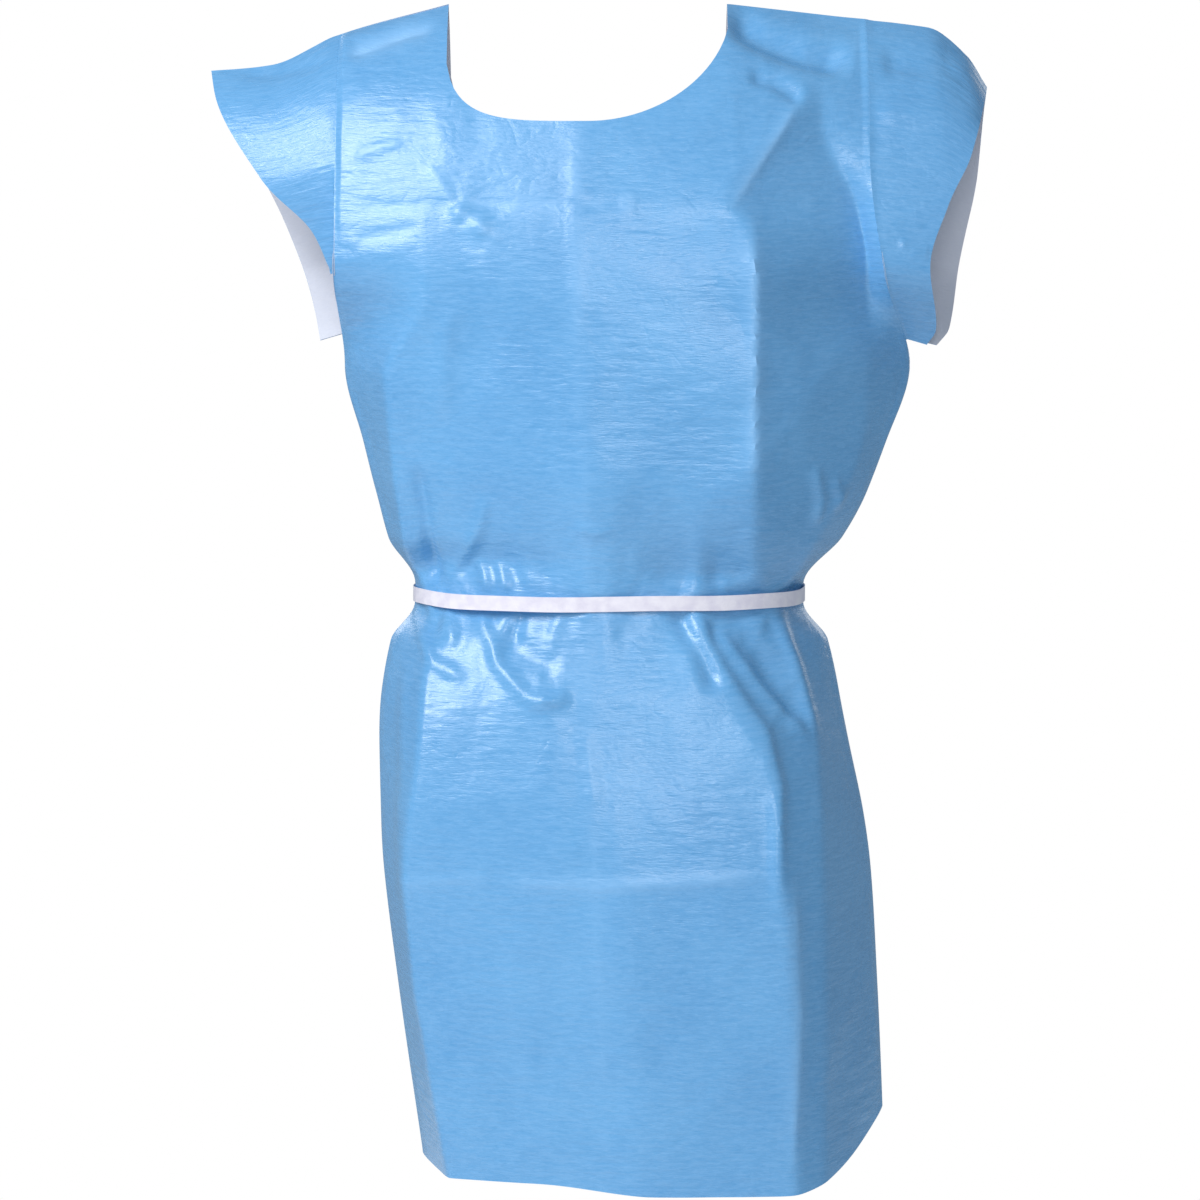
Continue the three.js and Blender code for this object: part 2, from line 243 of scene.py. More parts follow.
@dataclass(frozen=True)
class Fold:
    """One fold along a route on a face of the gown."""

    route: Points
    height: float
    width: float
    kind: FoldKind = FoldKind.ROLL

    def lift(self, across: np.ndarray, z: np.ndarray) -> np.ndarray:
        """How far the fold lifts each point.

        Args:
            across: places across the face, in metres.
            z: heights.

        Returns:
            Lifts in metres, fading to 0 at both ends of the route.
        """
        route = np.array(self.route, float) * MM
        steps = np.linalg.norm(np.diff(route, axis=0), axis=1)
        start = np.concatenate([[0.0], np.cumsum(steps)])
        nearest = np.full(across.shape, np.inf)
        along = np.zeros(across.shape)
        for i, step in enumerate(steps):
            direction = (route[i + 1] - route[i]) / step
            dx, dz = across - route[i, 0], z - route[i, 1]
            t = np.clip(dx * direction[0] + dz * direction[1], 0.0, step)
            gap = np.hypot(dx - t * direction[0], dz - t * direction[1])
            closer = gap < nearest
            nearest = np.where(closer, gap, nearest)
            along = np.where(closer, start[i] + t, along)
        share = along / start[-1]
        fade = smoothstep(0.0, FOLD_FADE, share) * smoothstep(0.0, FOLD_FADE, 1 - share)
        reach = nearest / self.width
        section = np.exp(-(reach**2)) if self.kind is FoldKind.ROLL else np.exp(-reach)
        return self.height * section * fade


@dataclass(frozen=True)
class Tuck:
    """A stretch of a face that turns down and in below a folded edge, deepest beside a seam."""

    edge: Points
    seam: float
    outer: float
    depth: float
    fall: float

    def lift(self, across: np.ndarray, z: np.ndarray) -> np.ndarray:
        """How far the tuck lifts each point: down to its depth at the seam, to nothing at its outer end.

        Args:
            across: places across the face, in metres.
            z: heights.

        Returns:
            Lifts in metres.
        """
        place, height = (np.array(self.edge, float) * MM).T
        under = np.clip((np.interp(across, place, height) - z) / self.fall, 0.0, 1.0)
        share = np.clip((across - self.outer) / (self.seam - self.outer), 0.0, 1.0)
        return -self.depth * under * share


@dataclass(frozen=True)
class Gathers:
    """Pleats that run out from under the tie, above and below it."""

    count: int
    span: tuple[float, float]
    seed: int
    height: float = 0.0034
    width: float = 0.0045
    reach: float = 0.034
    inward_share: float = 0.45
    short_share: float = 0.25
    shortened: float = 0.3
    sizes: tuple[float, float] = (0.35, 1.0)
    widths: tuple[float, float] = (0.7, 1.9)
    reaches: tuple[float, float] = (0.35, 1.6)
    lean: float = 0.45
    splay: float = 0.7
    spread_over: float = 0.05
    tie_edge: tuple[float, float] = (0.004, 0.022)
    under_tie: float = 0.12

    def lift(self, across: np.ndarray, z: np.ndarray) -> np.ndarray:
        """How far the pleats lift each point, as for a fold."""
        draw = np.random.default_rng(self.seed)
        total = np.zeros(across.shape)
        away = z - SHAPE.waist_z
        for _ in range(self.count):
            place = draw.uniform(*self.span)
            sign = -1.0 if draw.random() < self.inward_share else 1.0
            size = self.height * draw.uniform(*self.sizes)
            width = self.width * draw.uniform(*self.widths)
            lean = draw.uniform(-self.lean, self.lean) + self.splay * place
            reach_up, reach_down = self.reach * draw.uniform(*self.reaches, 2)
            if draw.random() < self.short_share:
                reach_up *= self.shortened
            reach = np.where(away > 0, reach_up, reach_down)
            spread = width * (1 + np.abs(away) / self.spread_over)
            offset = across - place - lean * np.abs(away)
            total += sign * size * np.exp(-((offset / spread) ** 2)) * np.exp(-np.abs(away) / reach)
        clear = smoothstep(*self.tie_edge, np.abs(away))
        return total * (self.under_tie + (1 - self.under_tie) * clear)


class Waves:
    """Smooth random waves over a plane, the same on every run."""

    def __init__(self, seed: int) -> None:
        """Draws the waves' slopes.

        Args:
            seed: which waves to draw.
        """
        draw = np.random.default_rng(seed)
        turn = draw.uniform(0.0, 2 * math.pi, WAVE_CELLS)
        self.slope = np.stack([np.cos(turn), np.sin(turn)])
        self.shuffle = draw.permutation(WAVE_CELLS)

    def __call__(self, u: np.ndarray, v: np.ndarray) -> np.ndarray:
        """Heights between about -1 and 1, one wave to a unit.

        Args:
            u: places one way.
            v: places the other way.

        Returns:
            The heights, in an array of the same shape.
        """
        cell_u, cell_v = np.floor(u).astype(int), np.floor(v).astype(int)
        du, dv = u - cell_u, v - cell_v

        def corner(i: int, j: int) -> np.ndarray:
            """The share of one corner of each cell."""
            column = self.shuffle[(cell_u + i) % WAVE_CELLS]
            key = self.shuffle[(column + cell_v + j) % WAVE_CELLS]
            return self.slope[0][key] * (du - i) + self.slope[1][key] * (dv - j)

        ease_u, ease_v = (d**3 * (d * (6 * d - 15) + 10) for d in (du, dv))
        low = corner(0, 0) + ease_u * (corner(1, 0) - corner(0, 0))
        high = corner(0, 1) + ease_u * (corner(1, 1) - corner(0, 1))
        return WAVE_GAIN * (low + ease_v * (high - low))


@dataclass(frozen=True)
class Ladder:
    """Short level wrinkles, one above the other, over an oval patch of a face."""

    seed: int
    centre: tuple[float, float]
    reach: tuple[float, float]
    height: float = 0.0007
    pitch: float = 0.0085
    length: float = 0.034

    def lift(self, across: np.ndarray, z: np.ndarray) -> np.ndarray:
        """How far the wrinkles lift each point, as for a fold."""
        away = ((across - self.centre[0]) / self.reach[0]) ** 2 + ((z - self.centre[1]) / self.reach[1]) ** 2
        dashes = Waves(self.seed)(across / self.length, z / self.pitch)
        return self.height * dashes * smoothstep(0.0, 1.0, 1 - away)


@dataclass(frozen=True)
class Crumple:
    """The stiff sheet's all-over crumple: broad buckles, sharp crests and short level wrinkles."""

    seed: int
    broad: float = 0.0030
    crest: float = 0.0016
    wrinkle: float = 0.00032

    def lift(self, across: np.ndarray, z: np.ndarray) -> np.ndarray:
        """How far the crumple lifts each point, as for a fold."""
        broad, crest, fine, patch, warp = (Waves(self.seed + i) for i in range(5))
        bend = warp(across * 8, z * 8)
        buckles = broad(across * 6.5 + 0.6 * bend, z * 4.0)
        crests = 0.5 - np.abs(crest(across * 14 + 0.8 * bend, z * 10))
        wrinkles = fine(across * 34 + bend, z * 150)
        patches = smoothstep(-0.1, 0.7, patch(across * 9, z * 6) + 0.4 * smoothstep(0.02, 0.18, across))
        return self.broad * buckles + self.crest * crests + self.wrinkle * wrinkles * patches


# ---------------------------------------------------------------- sheets


@dataclass
class Sheet:
    """A surface being made: points, where they lie on the flat sheet, and faces."""

    points: np.ndarray
    flat: np.ndarray
    faces: list[tuple[int, ...]]
    # Mask of the painted highlight along the creases, one value for each point.
    crease_highlight: np.ndarray = field(default_factory=lambda: np.zeros(0))

    def normals(self) -> np.ndarray:
        """Unit normals at the points, weighted by area."""
        sums = np.zeros_like(self.points)
        quads = np.array([(*f, *f[-1:] * (4 - len(f)))[:4] for f in self.faces])
        p = self.points[quads]
        normal = np.cross(p[:, 2] - p[:, 0], p[:, 3] - p[:, 1])
        for corner in range(4):
            np.add.at(sums, quads[:, corner], normal)
        return sums / np.maximum(np.linalg.norm(sums, axis=1, keepdims=True), 1e-12)

    def rim(self) -> list[tuple[int, int]]:
        """Edges that only one face uses, in that face's direction."""
        seen: dict[tuple[int, int], int] = {}
        for face_points in self.faces:
            for a, b in zip(face_points, face_points[1:] + face_points[:1]):
                seen[(a, b)] = seen.get((a, b), 0) + 1
        return [(a, b) for a, b in seen if (b, a) not in seen]

    def trimmed(self, keep: np.ndarray) -> "Sheet":
        """The part of the sheet where keep is positive, cut along the line where it is 0.

        Args:
            keep: one signed distance for each point.

        Returns:
            A new sheet.
        """
        points, flat = list(self.points), list(self.flat)
        cuts: dict[tuple[int, int], int] = {}

        def cut(a: int, b: int) -> int:
            """Index of the point where the edge from a to b crosses the line."""
            key = (min(a, b), max(a, b))
            if key not in cuts:
                t = keep[a] / (keep[a] - keep[b])
                cuts[key] = len(points)
                points.append(points[a] + t * (points[b] - points[a]))
                flat.append(flat[a] + t * (flat[b] - flat[a]))
            return cuts[key]

        inside = keep > 0
        faces: list[tuple[int, ...]] = []
        for face_points in self.faces:
            kept = [bool(inside[i]) for i in face_points]
            if all(kept):
                faces.append(face_points)
            elif any(kept):
                ring: list[int] = []
                for a, b in zip(face_points, face_points[1:] + face_points[:1]):
                    if inside[a]:
                        ring.append(a)
                    if inside[a] != inside[b]:
                        ring.append(cut(a, b))
                faces.append(tuple(ring))
        used = sorted({i for f in faces for i in f})
        renumber = {old: new for new, old in enumerate(used)}
        return Sheet(
            np.array([points[i] for i in used]),
            np.array([flat[i] for i in used]),
            [tuple(renumber[i] for i in f) for f in faces],
        )



def grid_sheet(points: np.ndarray, flat: np.ndarray) -> Sheet:
    """A sheet from a grid of points.

    Args:
        points: array of columns by rows by 3.
        flat: array of columns by rows by 2.

    Returns:
        The sheet, its faces turned so that columns run to the right seen from outside.
    """
    columns, rows = points.shape[:2]
    index = np.arange(columns * rows).reshape(columns, rows)
    quads = np.stack([index[:-1, :-1], index[1:, :-1], index[1:, 1:], index[:-1, 1:]], -1).reshape(-1, 4)
    return Sheet(points.reshape(-1, 3), flat.reshape(-1, 2), [tuple(q) for q in quads.tolist()])


@dataclass(frozen=True)
class Ply:
    """One layer of the laminate: its name, place under the outer face, thickness and slot."""

    name: str
    inset: float
    thickness: float
    slot: str


FILM = Ply("film", 0.0, 0.00018, "blue_film")
TISSUE = Ply("lining", 0.0006, 0.0002, "white_tissue")


def solid_mesh(name: str, sheet: Sheet, ply: Ply, material: bpy.types.Material) -> bpy.types.Object:
    """A closed thin solid made of one ply of a sheet.

    Args:
        name: the piece's name.
        sheet: the outer face.
        ply: the layer to make.
        material: its finish.

    Returns:
        The new object, at the origin.
    """
    normals = sheet.normals()
    outer = sheet.points - normals * ply.inset
    inner = outer - normals * ply.thickness
    count = len(outer)
    faces = list(sheet.faces)
    faces += [tuple(i + count for i in reversed(f)) for f in sheet.faces]
    faces += [(b, a, a + count, b + count) for a, b in sheet.rim()]
    mesh = bpy.data.meshes.new(name)
    mesh.from_pydata(np.concatenate([outer, inner]).tolist(), [], faces)
    flat = np.concatenate([sheet.flat, sheet.flat])
    loops = np.empty(len(mesh.loops), np.int32)
    mesh.loops.foreach_get("vertex_index", loops)
    uv = mesh.uv_layers.new(name="flat_sheet")
    uv.data.foreach_set("uv", flat[loops].astype(np.float32).ravel())
    # The creases' mask for the film's painted highlight, kept on the points.
    crease_highlight = mesh.attributes.new("crease_highlight_mask", "FLOAT", "POINT")
    crease_highlight.data.foreach_set("value", np.concatenate([sheet.crease_highlight, sheet.crease_highlight]).astype(np.float32))
    mesh.shade_smooth()
    mesh.set_sharp_from_angle(angle=SHARP_EDGE)
    mesh.materials.append(material)
    piece = bpy.data.objects.new(name, mesh)
    bpy.context.collection.objects.link(piece)
    return piece


# ---------------------------------------------------------------- shader expressions


class Signal:
    """A value socket that Python's operators turn into Math nodes."""

    def __init__(self, tree: "NodeTree", socket: bpy.types.NodeSocket) -> None:
        """Wraps one output socket of a tree."""
        self.tree, self.socket = tree, socket

    def _math(self, operation: str, *values: Any) -> "Signal":
        """A Math node of these values."""
        return self.tree.node("ShaderNodeMath", {"operation": operation}, dict(enumerate(values)))

    def __add__(self, other: "Signal | float") -> "Signal":
        """self + other."""
        return self._math("ADD", self, other)

    __radd__ = __add__

    def __sub__(self, other: "Signal | float") -> "Signal":
        """self - other."""
        return self._math("SUBTRACT", self, other)

    def __rsub__(self, other: float) -> "Signal":
        """other - self."""
        return self._math("SUBTRACT", other, self)

    def __mul__(self, other: "Signal | float") -> "Signal":
        """self * other."""
        return self._math("MULTIPLY", self, other)

    __rmul__ = __mul__

    def __truediv__(self, other: "Signal | float") -> "Signal":
        """self / other."""
        return self._math("DIVIDE", self, other)

    def __pow__(self, other: float) -> "Signal":
        """self to a power."""
        return self._math("POWER", self, other)

    def __abs__(self) -> "Signal":
        """The size of self."""
        return self._math("ABSOLUTE", self)

    def clamped(self) -> "Signal":
        """self between 0 and 1."""
        return self.tree.node("ShaderNodeClamp", {}, {0: self})


class NodeTree:
    """Builds a material's nodes."""

    def __init__(self, material: bpy.types.Material) -> None:
        """Empties the material's tree and keeps its shader and output.

        Args:
            material: the material to dress.
        """
        material.use_nodes = True
        self.tree = material.node_tree
        self.tree.nodes.clear()
        self.shader = self.tree.nodes.new("ShaderNodeBsdfPrincipled")
        output = self.tree.nodes.new("ShaderNodeOutputMaterial")
        self.tree.links.new(self.shader.outputs[0], output.inputs[0])

    def node(self, kind: str, settings: dict[str, Any], inputs: dict[Any, Any], out: Any = 0) -> Signal:
        """Adds a node.

        Args:
            kind: the node's type.
            settings: properties that are set first.
            inputs: values or signals by socket name or number.
            out: name or number of the output to return.

        Returns:
            The chosen output.
        """
        made = self.tree.nodes.new(kind)
        for name, value in settings.items():
            setattr(made, name, value)
        for key, value in inputs.items():
            self.feed(made.inputs[key], value)
        return Signal(self, made.outputs[out])

    def feed(self, socket: bpy.types.NodeSocket, value: Any) -> None:
        """Links a signal to a socket, or sets its value."""
        if isinstance(value, Signal):
            self.tree.links.new(value.socket, socket)
        else:
            socket.default_value = value

    def ramp(self, value: Signal, stops: Points) -> Signal:
        """A grey ramp through (place, brightness) stops."""
        made = self.tree.nodes.new("ShaderNodeValToRGB")
        elements = made.color_ramp.elements
        while len(elements) < len(stops):
            elements.new(1.0)
        for element, (place, level) in zip(elements, stops):
            element.position, element.color = place, (level, level, level, 1.0)
        self.feed(made.inputs[0], value)
        return Signal(self, made.outputs[0])

    def mix(self, share: Any, low: Any, high: Any) -> Signal:
        """A colour between two others."""
        made = self.tree.nodes.new("ShaderNodeMix")
        made.data_type = "RGBA"
        colours = [s for s in made.inputs if s.type == "RGBA"]
        self.feed(made.inputs[0], share)
        self.feed(colours[0], low)
        self.feed(colours[1], high)
        return Signal(self, next(s for s in made.outputs if s.type == "RGBA"))

    def bump(self, height: Signal, distance: float, strength: float, normal: Signal | None = None) -> Signal:
        """A Bump node of a height in metres."""
        inputs: dict[Any, Any] = {"Height": height, "Distance": distance, "Strength": strength}
        if normal is not None:
            inputs["Normal"] = normal
        return self.node("ShaderNodeBump", {}, inputs)

    def texture(self, kind: str, vector: Signal, scale: float, **inputs: float) -> Signal:
        """A procedural texture's value.

        Args:
            kind: the texture node's type.
            vector: coordinates.
            scale: its scale.
            **inputs: other inputs, by name with _ for a space.

        Returns:
            Its first value.
        """
        values: dict[Any, Any] = {"Vector": vector, "Scale": scale}
        values.update({name.replace("_", " "): value for name, value in inputs.items()})
        return self.node(kind, {}, values)

    def set(self, **inputs: Any) -> None:
        """Feeds the shader's sockets, named with _ for a space."""
        for name, value in inputs.items():
            self.feed(self.shader.inputs[name.replace("_", " ")], value)


Colour = tuple[float, float, float, float]


@dataclass(frozen=True)
class FilmFinish:
    """Glossy polyethylene film with a fine level crepe, pressed creases and cloudy thickness, with painted
    sheen flecks over the crepe and painted highlights along the creases.
    """

    colour: Colour = (0.115, 0.350, 0.645, 1.0)
    # Colour of the painted sheen flecks and of the painted highlights along the creases.
    pale: Colour = (0.30, 0.55, 0.86, 1.0)
    deep: Colour = (0.080, 0.285, 0.565, 1.0)
    roughness: float = 0.27
    crepe_height: float = 0.00026
    wrinkle_height: float = 0.0013
    crumple_height: float = 0.0012

    def make(self) -> bpy.types.Material:
        """Builds the material."""
        material = bpy.data.materials.new("blue_film")
        tree = NodeTree(material)
        flat = tree.node("ShaderNodeUVMap", {"uv_map": "flat_sheet"}, {})
        lines = tree.node("ShaderNodeMapping", {}, {"Vector": flat, "Scale": (0.2, 1.0, 1.0)})
        crepe = tree.texture("ShaderNodeTexNoise", lines, 780.0, Detail=3.0, Roughness=0.6)
        weft = tree.texture("ShaderNodeTexNoise", lines, 300.0, Detail=2.0, Roughness=0.5)
        dashes = tree.texture("ShaderNodeTexNoise", lines, 120.0, Detail=2.0, Roughness=0.5)
        cloud = tree.texture("ShaderNodeTexNoise", flat, 7.0, Detail=4.0, Roughness=0.6)
        patches = tree.texture("ShaderNodeTexNoise", flat, 11.0, Detail=2.0, Roughness=0.5)
        buckle = tree.texture("ShaderNodeTexNoise", flat, 42.0, Detail=2.0, Roughness=0.5, Distortion=0.5)
        crumple = abs(buckle - 0.5)
        # Mask of the creases, where the film's colour is painted pale as a highlight.
        crease_highlight = tree.node("ShaderNodeAttribute", {"attribute_name": "crease_highlight_mask"}, {}, "Fac")
        worked = tree.ramp(patches, [(0.40, 0.1), (0.62, 1.0)])
        body = tree.mix(tree.ramp(cloud, [(0.3, 0.0), (0.7, 1.0)]), self.deep, self.colour)
        # Painted sheen: pale flecks over the crepe stand in for its glints.
        with_painted_sheen = tree.mix((crepe * 0.45 + weft * 0.4 - 0.22).clamped(), body, self.pale)
        level = tree.bump((dashes - 0.5) * worked, self.wrinkle_height, 1.0,
                          tree.bump(crumple, self.crumple_height, 0.7))
        # Painted highlight: the base colour is mixed towards pale along the pressed creases.
        tree.set(
            Base_Color=tree.mix((crease_highlight * 0.3).clamped(), with_painted_sheen, self.pale),
            Roughness=self.roughness + (weft - 0.5) * 0.2 + crease_highlight * 0.05,
            Specular_IOR_Level=0.55,
            IOR=1.5,
            Normal=tree.bump(crepe + weft * 0.8, self.crepe_height, 1.0, level),
        )
        return material


@dataclass(frozen=True)
class TissueFinish:
    """Matt white crepe tissue that the film's blue shows through a little."""

    colour: Colour = (0.72, 0.73, 0.80, 1.0)
    shade: Colour = (0.60, 0.63, 0.73, 1.0)
    crepe_height: float = 0.00025

    def make(self) -> bpy.types.Material:
        """Builds the material."""
        material = bpy.data.materials.new("white_tissue")
        tree = NodeTree(material)
        flat = tree.node("ShaderNodeUVMap", {"uv_map": "flat_sheet"}, {})
        lines = tree.node("ShaderNodeMapping", {}, {"Vector": flat, "Scale": (0.3, 1.0, 1.0)})
        crepe = tree.texture("ShaderNodeTexNoise", lines, 640.0, Detail=4.0, Roughness=0.6)
        fibres = tree.texture("ShaderNodeTexNoise", flat, 150.0, Detail=5.0, Roughness=0.7)
        tree.set(
            Base_Color=tree.mix((crepe * 0.6 + fibres * 0.6 - 0.2).clamped(), self.shade, self.colour),
            Roughness=0.86 + (fibres - 0.5) * 0.1,
            Normal=tree.bump(crepe + fibres * 0.5, self.crepe_height, 1.0),
        )
        return material


@dataclass(frozen=True)
class TieFinish:
    """Soft white plastic strip with a satin sheen and faint stretch marks."""

    colour: Colour = (0.80, 0.76, 0.83, 1.0)
    shade: Colour = (0.70, 0.66, 0.76, 1.0)

    def make(self) -> bpy.types.Material:
        """Builds the material."""
        material = bpy.data.materials.new("white_tie")
        tree = NodeTree(material)
        place = tree.node("ShaderNodeTexCoord", {}, {}, "Object")
        grain = tree.texture("ShaderNodeTexNoise", place, 420.0, Detail=3.0, Roughness=0.6)
        marks = tree.texture("ShaderNodeTexNoise", place, 90.0, Detail=2.0, Roughness=0.5)
        tree.set(
            Base_Color=tree.mix(tree.ramp(marks, [(0.35, 0.0), (0.65, 1.0)]), self.shade, self.colour),
            Roughness=0.42 + (grain - 0.5) * 0.2,
            Coat_Weight=0.15,
            Normal=tree.bump(grain + marks, 0.00025, 0.8),
        )
        return material


@dataclass(frozen=True)
class Finishes:
    """The gown's three materials."""

    film: bpy.types.Material
    tissue: bpy.types.Material
    tie: bpy.types.Material

    @classmethod
    def make(cls) -> "Finishes":
        """Builds them all."""
        return cls(FilmFinish().make(), TissueFinish().make(), TieFinish().make())


# ---------------------------------------------------------------- panels


@dataclass(frozen=True)
class PlaneLine:
    """A line down a face where its flat planes meet: place across, and how far out it stands, by height."""

    place: Profile
    out: Profile


def planed(points: np.ndarray, z: np.ndarray, lines: Sequence[PlaneLine], flatness: float) -> np.ndarray:
    """Flattens a face's grid into planes between lines.

    Args:
        points: grid of columns by rows by 3, running across.
        z: heights, of the grid's shape.
        lines: the lines in order across, the first and last beyond the sides.
        flatness: 0 leaves the round surface, 1 gives flat planes.

    Returns:
        A new grid of the same shape.
    """
    out = points.copy()
    for row in range(points.shape[1]):
        x, y, height = points[:, row, 0], points[:, row, 1], z[:, row].mean()
        knots = np.array([float(line.place(height)) for line in lines])
        inside = (knots > x.min() + 1e-4) & (knots < x.max() - 1e-4)
        knot_x = np.concatenate([[x[0]], knots[inside], [x[-1]]])
        stand = np.array([float(line.out(height)) for line in lines])[inside]
        knot_y = np.interp(knot_x, x, y)
        knot_y[1:-1] += stand
        out[:, row, 1] = y + flatness * (np.interp(x, knot_x, knot_y) - y)
    return out


def smoothed(grid: np.ndarray, passes: int) -> np.ndarray:
    """Rounds a grid's creases by averaging neighbours across and along, its rim left alone."""
    out = grid.copy()
    for _ in range(passes):
        inner = out[1:-1, 1:-1]
        mean = (out[:-2, 1:-1] + out[2:, 1:-1] + out[1:-1, :-2] + out[1:-1, 2:]) / 4
        out[1:-1, 1:-1] = inner + 0.5 * (mean - inner)
    return out


Lift = Callable[[np.ndarray, np.ndarray], np.ndarray]


@dataclass
class Panel:
    """A face of the gown's body: its planes, folds and creases, trimmed to its outline."""

    way: Way
    lines: Sequence[PlaneLine]
    lifts: Sequence[Lift]
    creases: Sequence[Fold]
    flatness: float = 0.85
    step: float = 0.0037
    fade: float = 0.007
    full_crease_highlight: float = 0.0016
    smoothing: int = 5
    girth_share: float = 2.6
    girth_z: float = -0.35
    column_power: float = 2 / 2.45
    hem_spare: float = 0.004
    half_span: float = 0.23

    def shares(self) -> np.ndarray:
        """Places of the columns across, evenly spaced round the body."""
        girth = self.girth_share * float(SHAPE.half_width(self.girth_z))
        count = int(girth / self.step)
        turn = np.linspace(-math.pi / 2, math.pi / 2, count)
        return np.sign(turn) * np.abs(np.sin(turn)) ** self.column_power

    def make(self) -> Sheet:
        """Builds the face from hem to shoulders, still whole across."""
        share = self.shares()
        rows = int(abs(SHAPE.hem_z) / self.step)
        down = np.linspace(0.0, 1.0, rows)
        top = SHAPE.shoulder_z(SHAPE.centre(0.0) + share * SHAPE.half_width(0.0))
        z = SHAPE.hem_z - self.hem_spare + down[None, :] * (top[:, None] - SHAPE.hem_z + self.hem_spare)
        grid = SHAPE.body(np.repeat(share[:, None], rows, 1), z, self.way)
        steps = np.linalg.norm(np.diff(grid, axis=0), axis=2)
        across = np.concatenate([np.zeros((1, rows)), np.cumsum(steps, axis=0)])
        across -= across[len(share) // 2][None, :]
        shaped = smoothed(planed(grid, z, self.lines, self.flatness), self.smoothing)
        guard = np.minimum(
            smoothstep(0.0, self.fade, (1 - np.abs(share))[:, None] * self.half_span),
            smoothstep(0.0, self.fade, top[:, None] - z),
        )
        if self.way is Way.BACK:
            shaped, across = shaped[::-1], across[::-1]
            guard, grid, z = guard[::-1], grid[::-1], z[::-1]
        sheet = grid_sheet(shaped, np.stack([across, z], -1))
        x, height = grid[..., 0].ravel(), grid[..., 2].ravel()
        lift = sum(f(x, height) for f in self.lifts)
        pressed = sum(f.lift(x, height) for f in self.creases)
        sheet.points = sheet.points + sheet.normals() * ((lift + pressed) * guard.ravel())[:, None]
        # Mask of the painted highlight along the creases: 1 where a crease lifts the point by the full
        # amount.
        self.crease_highlight = np.abs(pressed) / self.full_crease_highlight
        return sheet


FRONT_LINES = (
    PlaneLine(
        mm_profile(
            (-1024, -132), (-760, -168), (-540, -150), (-515, -150), (-470, -170), (-314, -185), (-250, -150),
            (0, -150),
        ),
        mm_profile((-1024, -6), (-700, -8), (-515, 0), (-314, -4), (-230, 9), (-60, 11), (0, 0)),
    ),
    PlaneLine(
        mm_profile((-1024, 40), (-700, 10), (-515, -6), (-300, -10), (0, -10)),
        mm_profile((-1024, 2), (-600, 4), (-515, 0), (-300, 3), (-120, 0), (0, 0)),
    ),
    PlaneLine(
        mm_profile(
            (-1024, 170), (-760, 160), (-655, 142), (-573, 97), (-517, 78), (-495, 133), (-291, 133),
            (-197, 129), (-179, 108), (-84, 172), (0, 180),
        ),
        mm_profile(
            (-1024, -7), (-700, -12), (-560, -8), (-515, 0), (-440, -14), (-250, -17), (-180, -10), (-60, 0)
        ),
    ),
    PlaneLine(
        mm_profile(
            (-1024, 196), (-760, 194), (-640, 190), (-577, 172), (-517, 150), (-490, 172), (-350, 233),
            (-227, 231), (-175, 222), (-105, 191), (0, 190),
        ),
        mm_profile(
            (-1024, 6), (-700, 10), (-600, 15), (-515, 0), (-440, 16), (-250, 34), (-150, 20), (-60, 0)
        ),
    ),
)

FRONT_FOLDS = (
    Fold([(-160, -395), (-152, -440), (-146, -500)], -0.0040, 0.006),
    Fold([(-134, -506), (-120, -480), (-104, -450), (-98, -420)], 0.0035, 0.006),
    Fold([(-117, -256), (-130, -275), (-136, -317), (-134, -360)], 0.0018, 0.008),
    Fold([(-126, -172), (-110, -184), (-92, -198)], 0.0026, 0.010),
    Fold([(108, -8), (140, -28), (180, -42), (222, -49)], -0.0130, 0.012),
    Fold([(126, -62), (150, -68), (176, -84)], -0.0050, 0.006),
    Fold([(-22, -447), (-8, -451), (8, -452)], 0.0026, 0.0045),
    Fold([(-165, -516), (-154, -548), (-143, -569), (-112, -582)], 0.0036, 0.0055),
    Fold([(-132, -514), (-128, -540), (-124, -556)], 0.0030, 0.005),
    Fold([(-104, -516), (-96, -545), (-87, -569), (-57, -601), (-20, -592)], 0.0040, 0.006),
    Fold([(-62, -590), (-44, -599), (-24, -592)], 0.0030, 0.007),
    Fold([(-84, -535), (-62, -560), (-34, -572)], -0.0030, 0.009),
    Fold([(-14, -618), (-10, -650), (-4, -690)], 0.0020, 0.004),
    Fold([(-168, -560), (-170, -640), (-172, -720), (-168, -800)], 0.0022, 0.006),
    Fold([(60, -514), (84, -552), (104, -590)], -0.0060, 0.009),
    Fold([(76, -512), (104, -569), (141, -625), (153, -668), (152, -735), (154, -790)], 0.0042, 0.006),
    Fold([(98, -534), (140, -588), (188, -642)], 0.0034, 0.005),
    Fold([(150, -512), (170, -572), (190, -642)], 0.0036, 0.005),
    Fold([(122, -534), (150, -580), (174, -622)], -0.0050, 0.010),
    Fold([(184, -396), (191, -428), (186, -452)], 0.0030, 0.0045),
    Fold([(200, -410), (209, -424), (204, -438)], 0.0028, 0.004),
    Fold([(-104, -478), (-98, -492), (-97, -510)], 0.0028, 0.0045),
    Fold([(-88, -480), (-82, -494), (-80, -510)], 0.0028, 0.0045),
)

FRONT_LADDERS = (
    Ladder(61, (0.115, -0.39), (0.075, 0.12)),
    Ladder(62, (-0.03, -0.90), (0.15, 0.10), 0.0005),
    Ladder(63, (-0.105, -0.19), (0.035, 0.022), 0.0012, 0.009, 0.016),
)

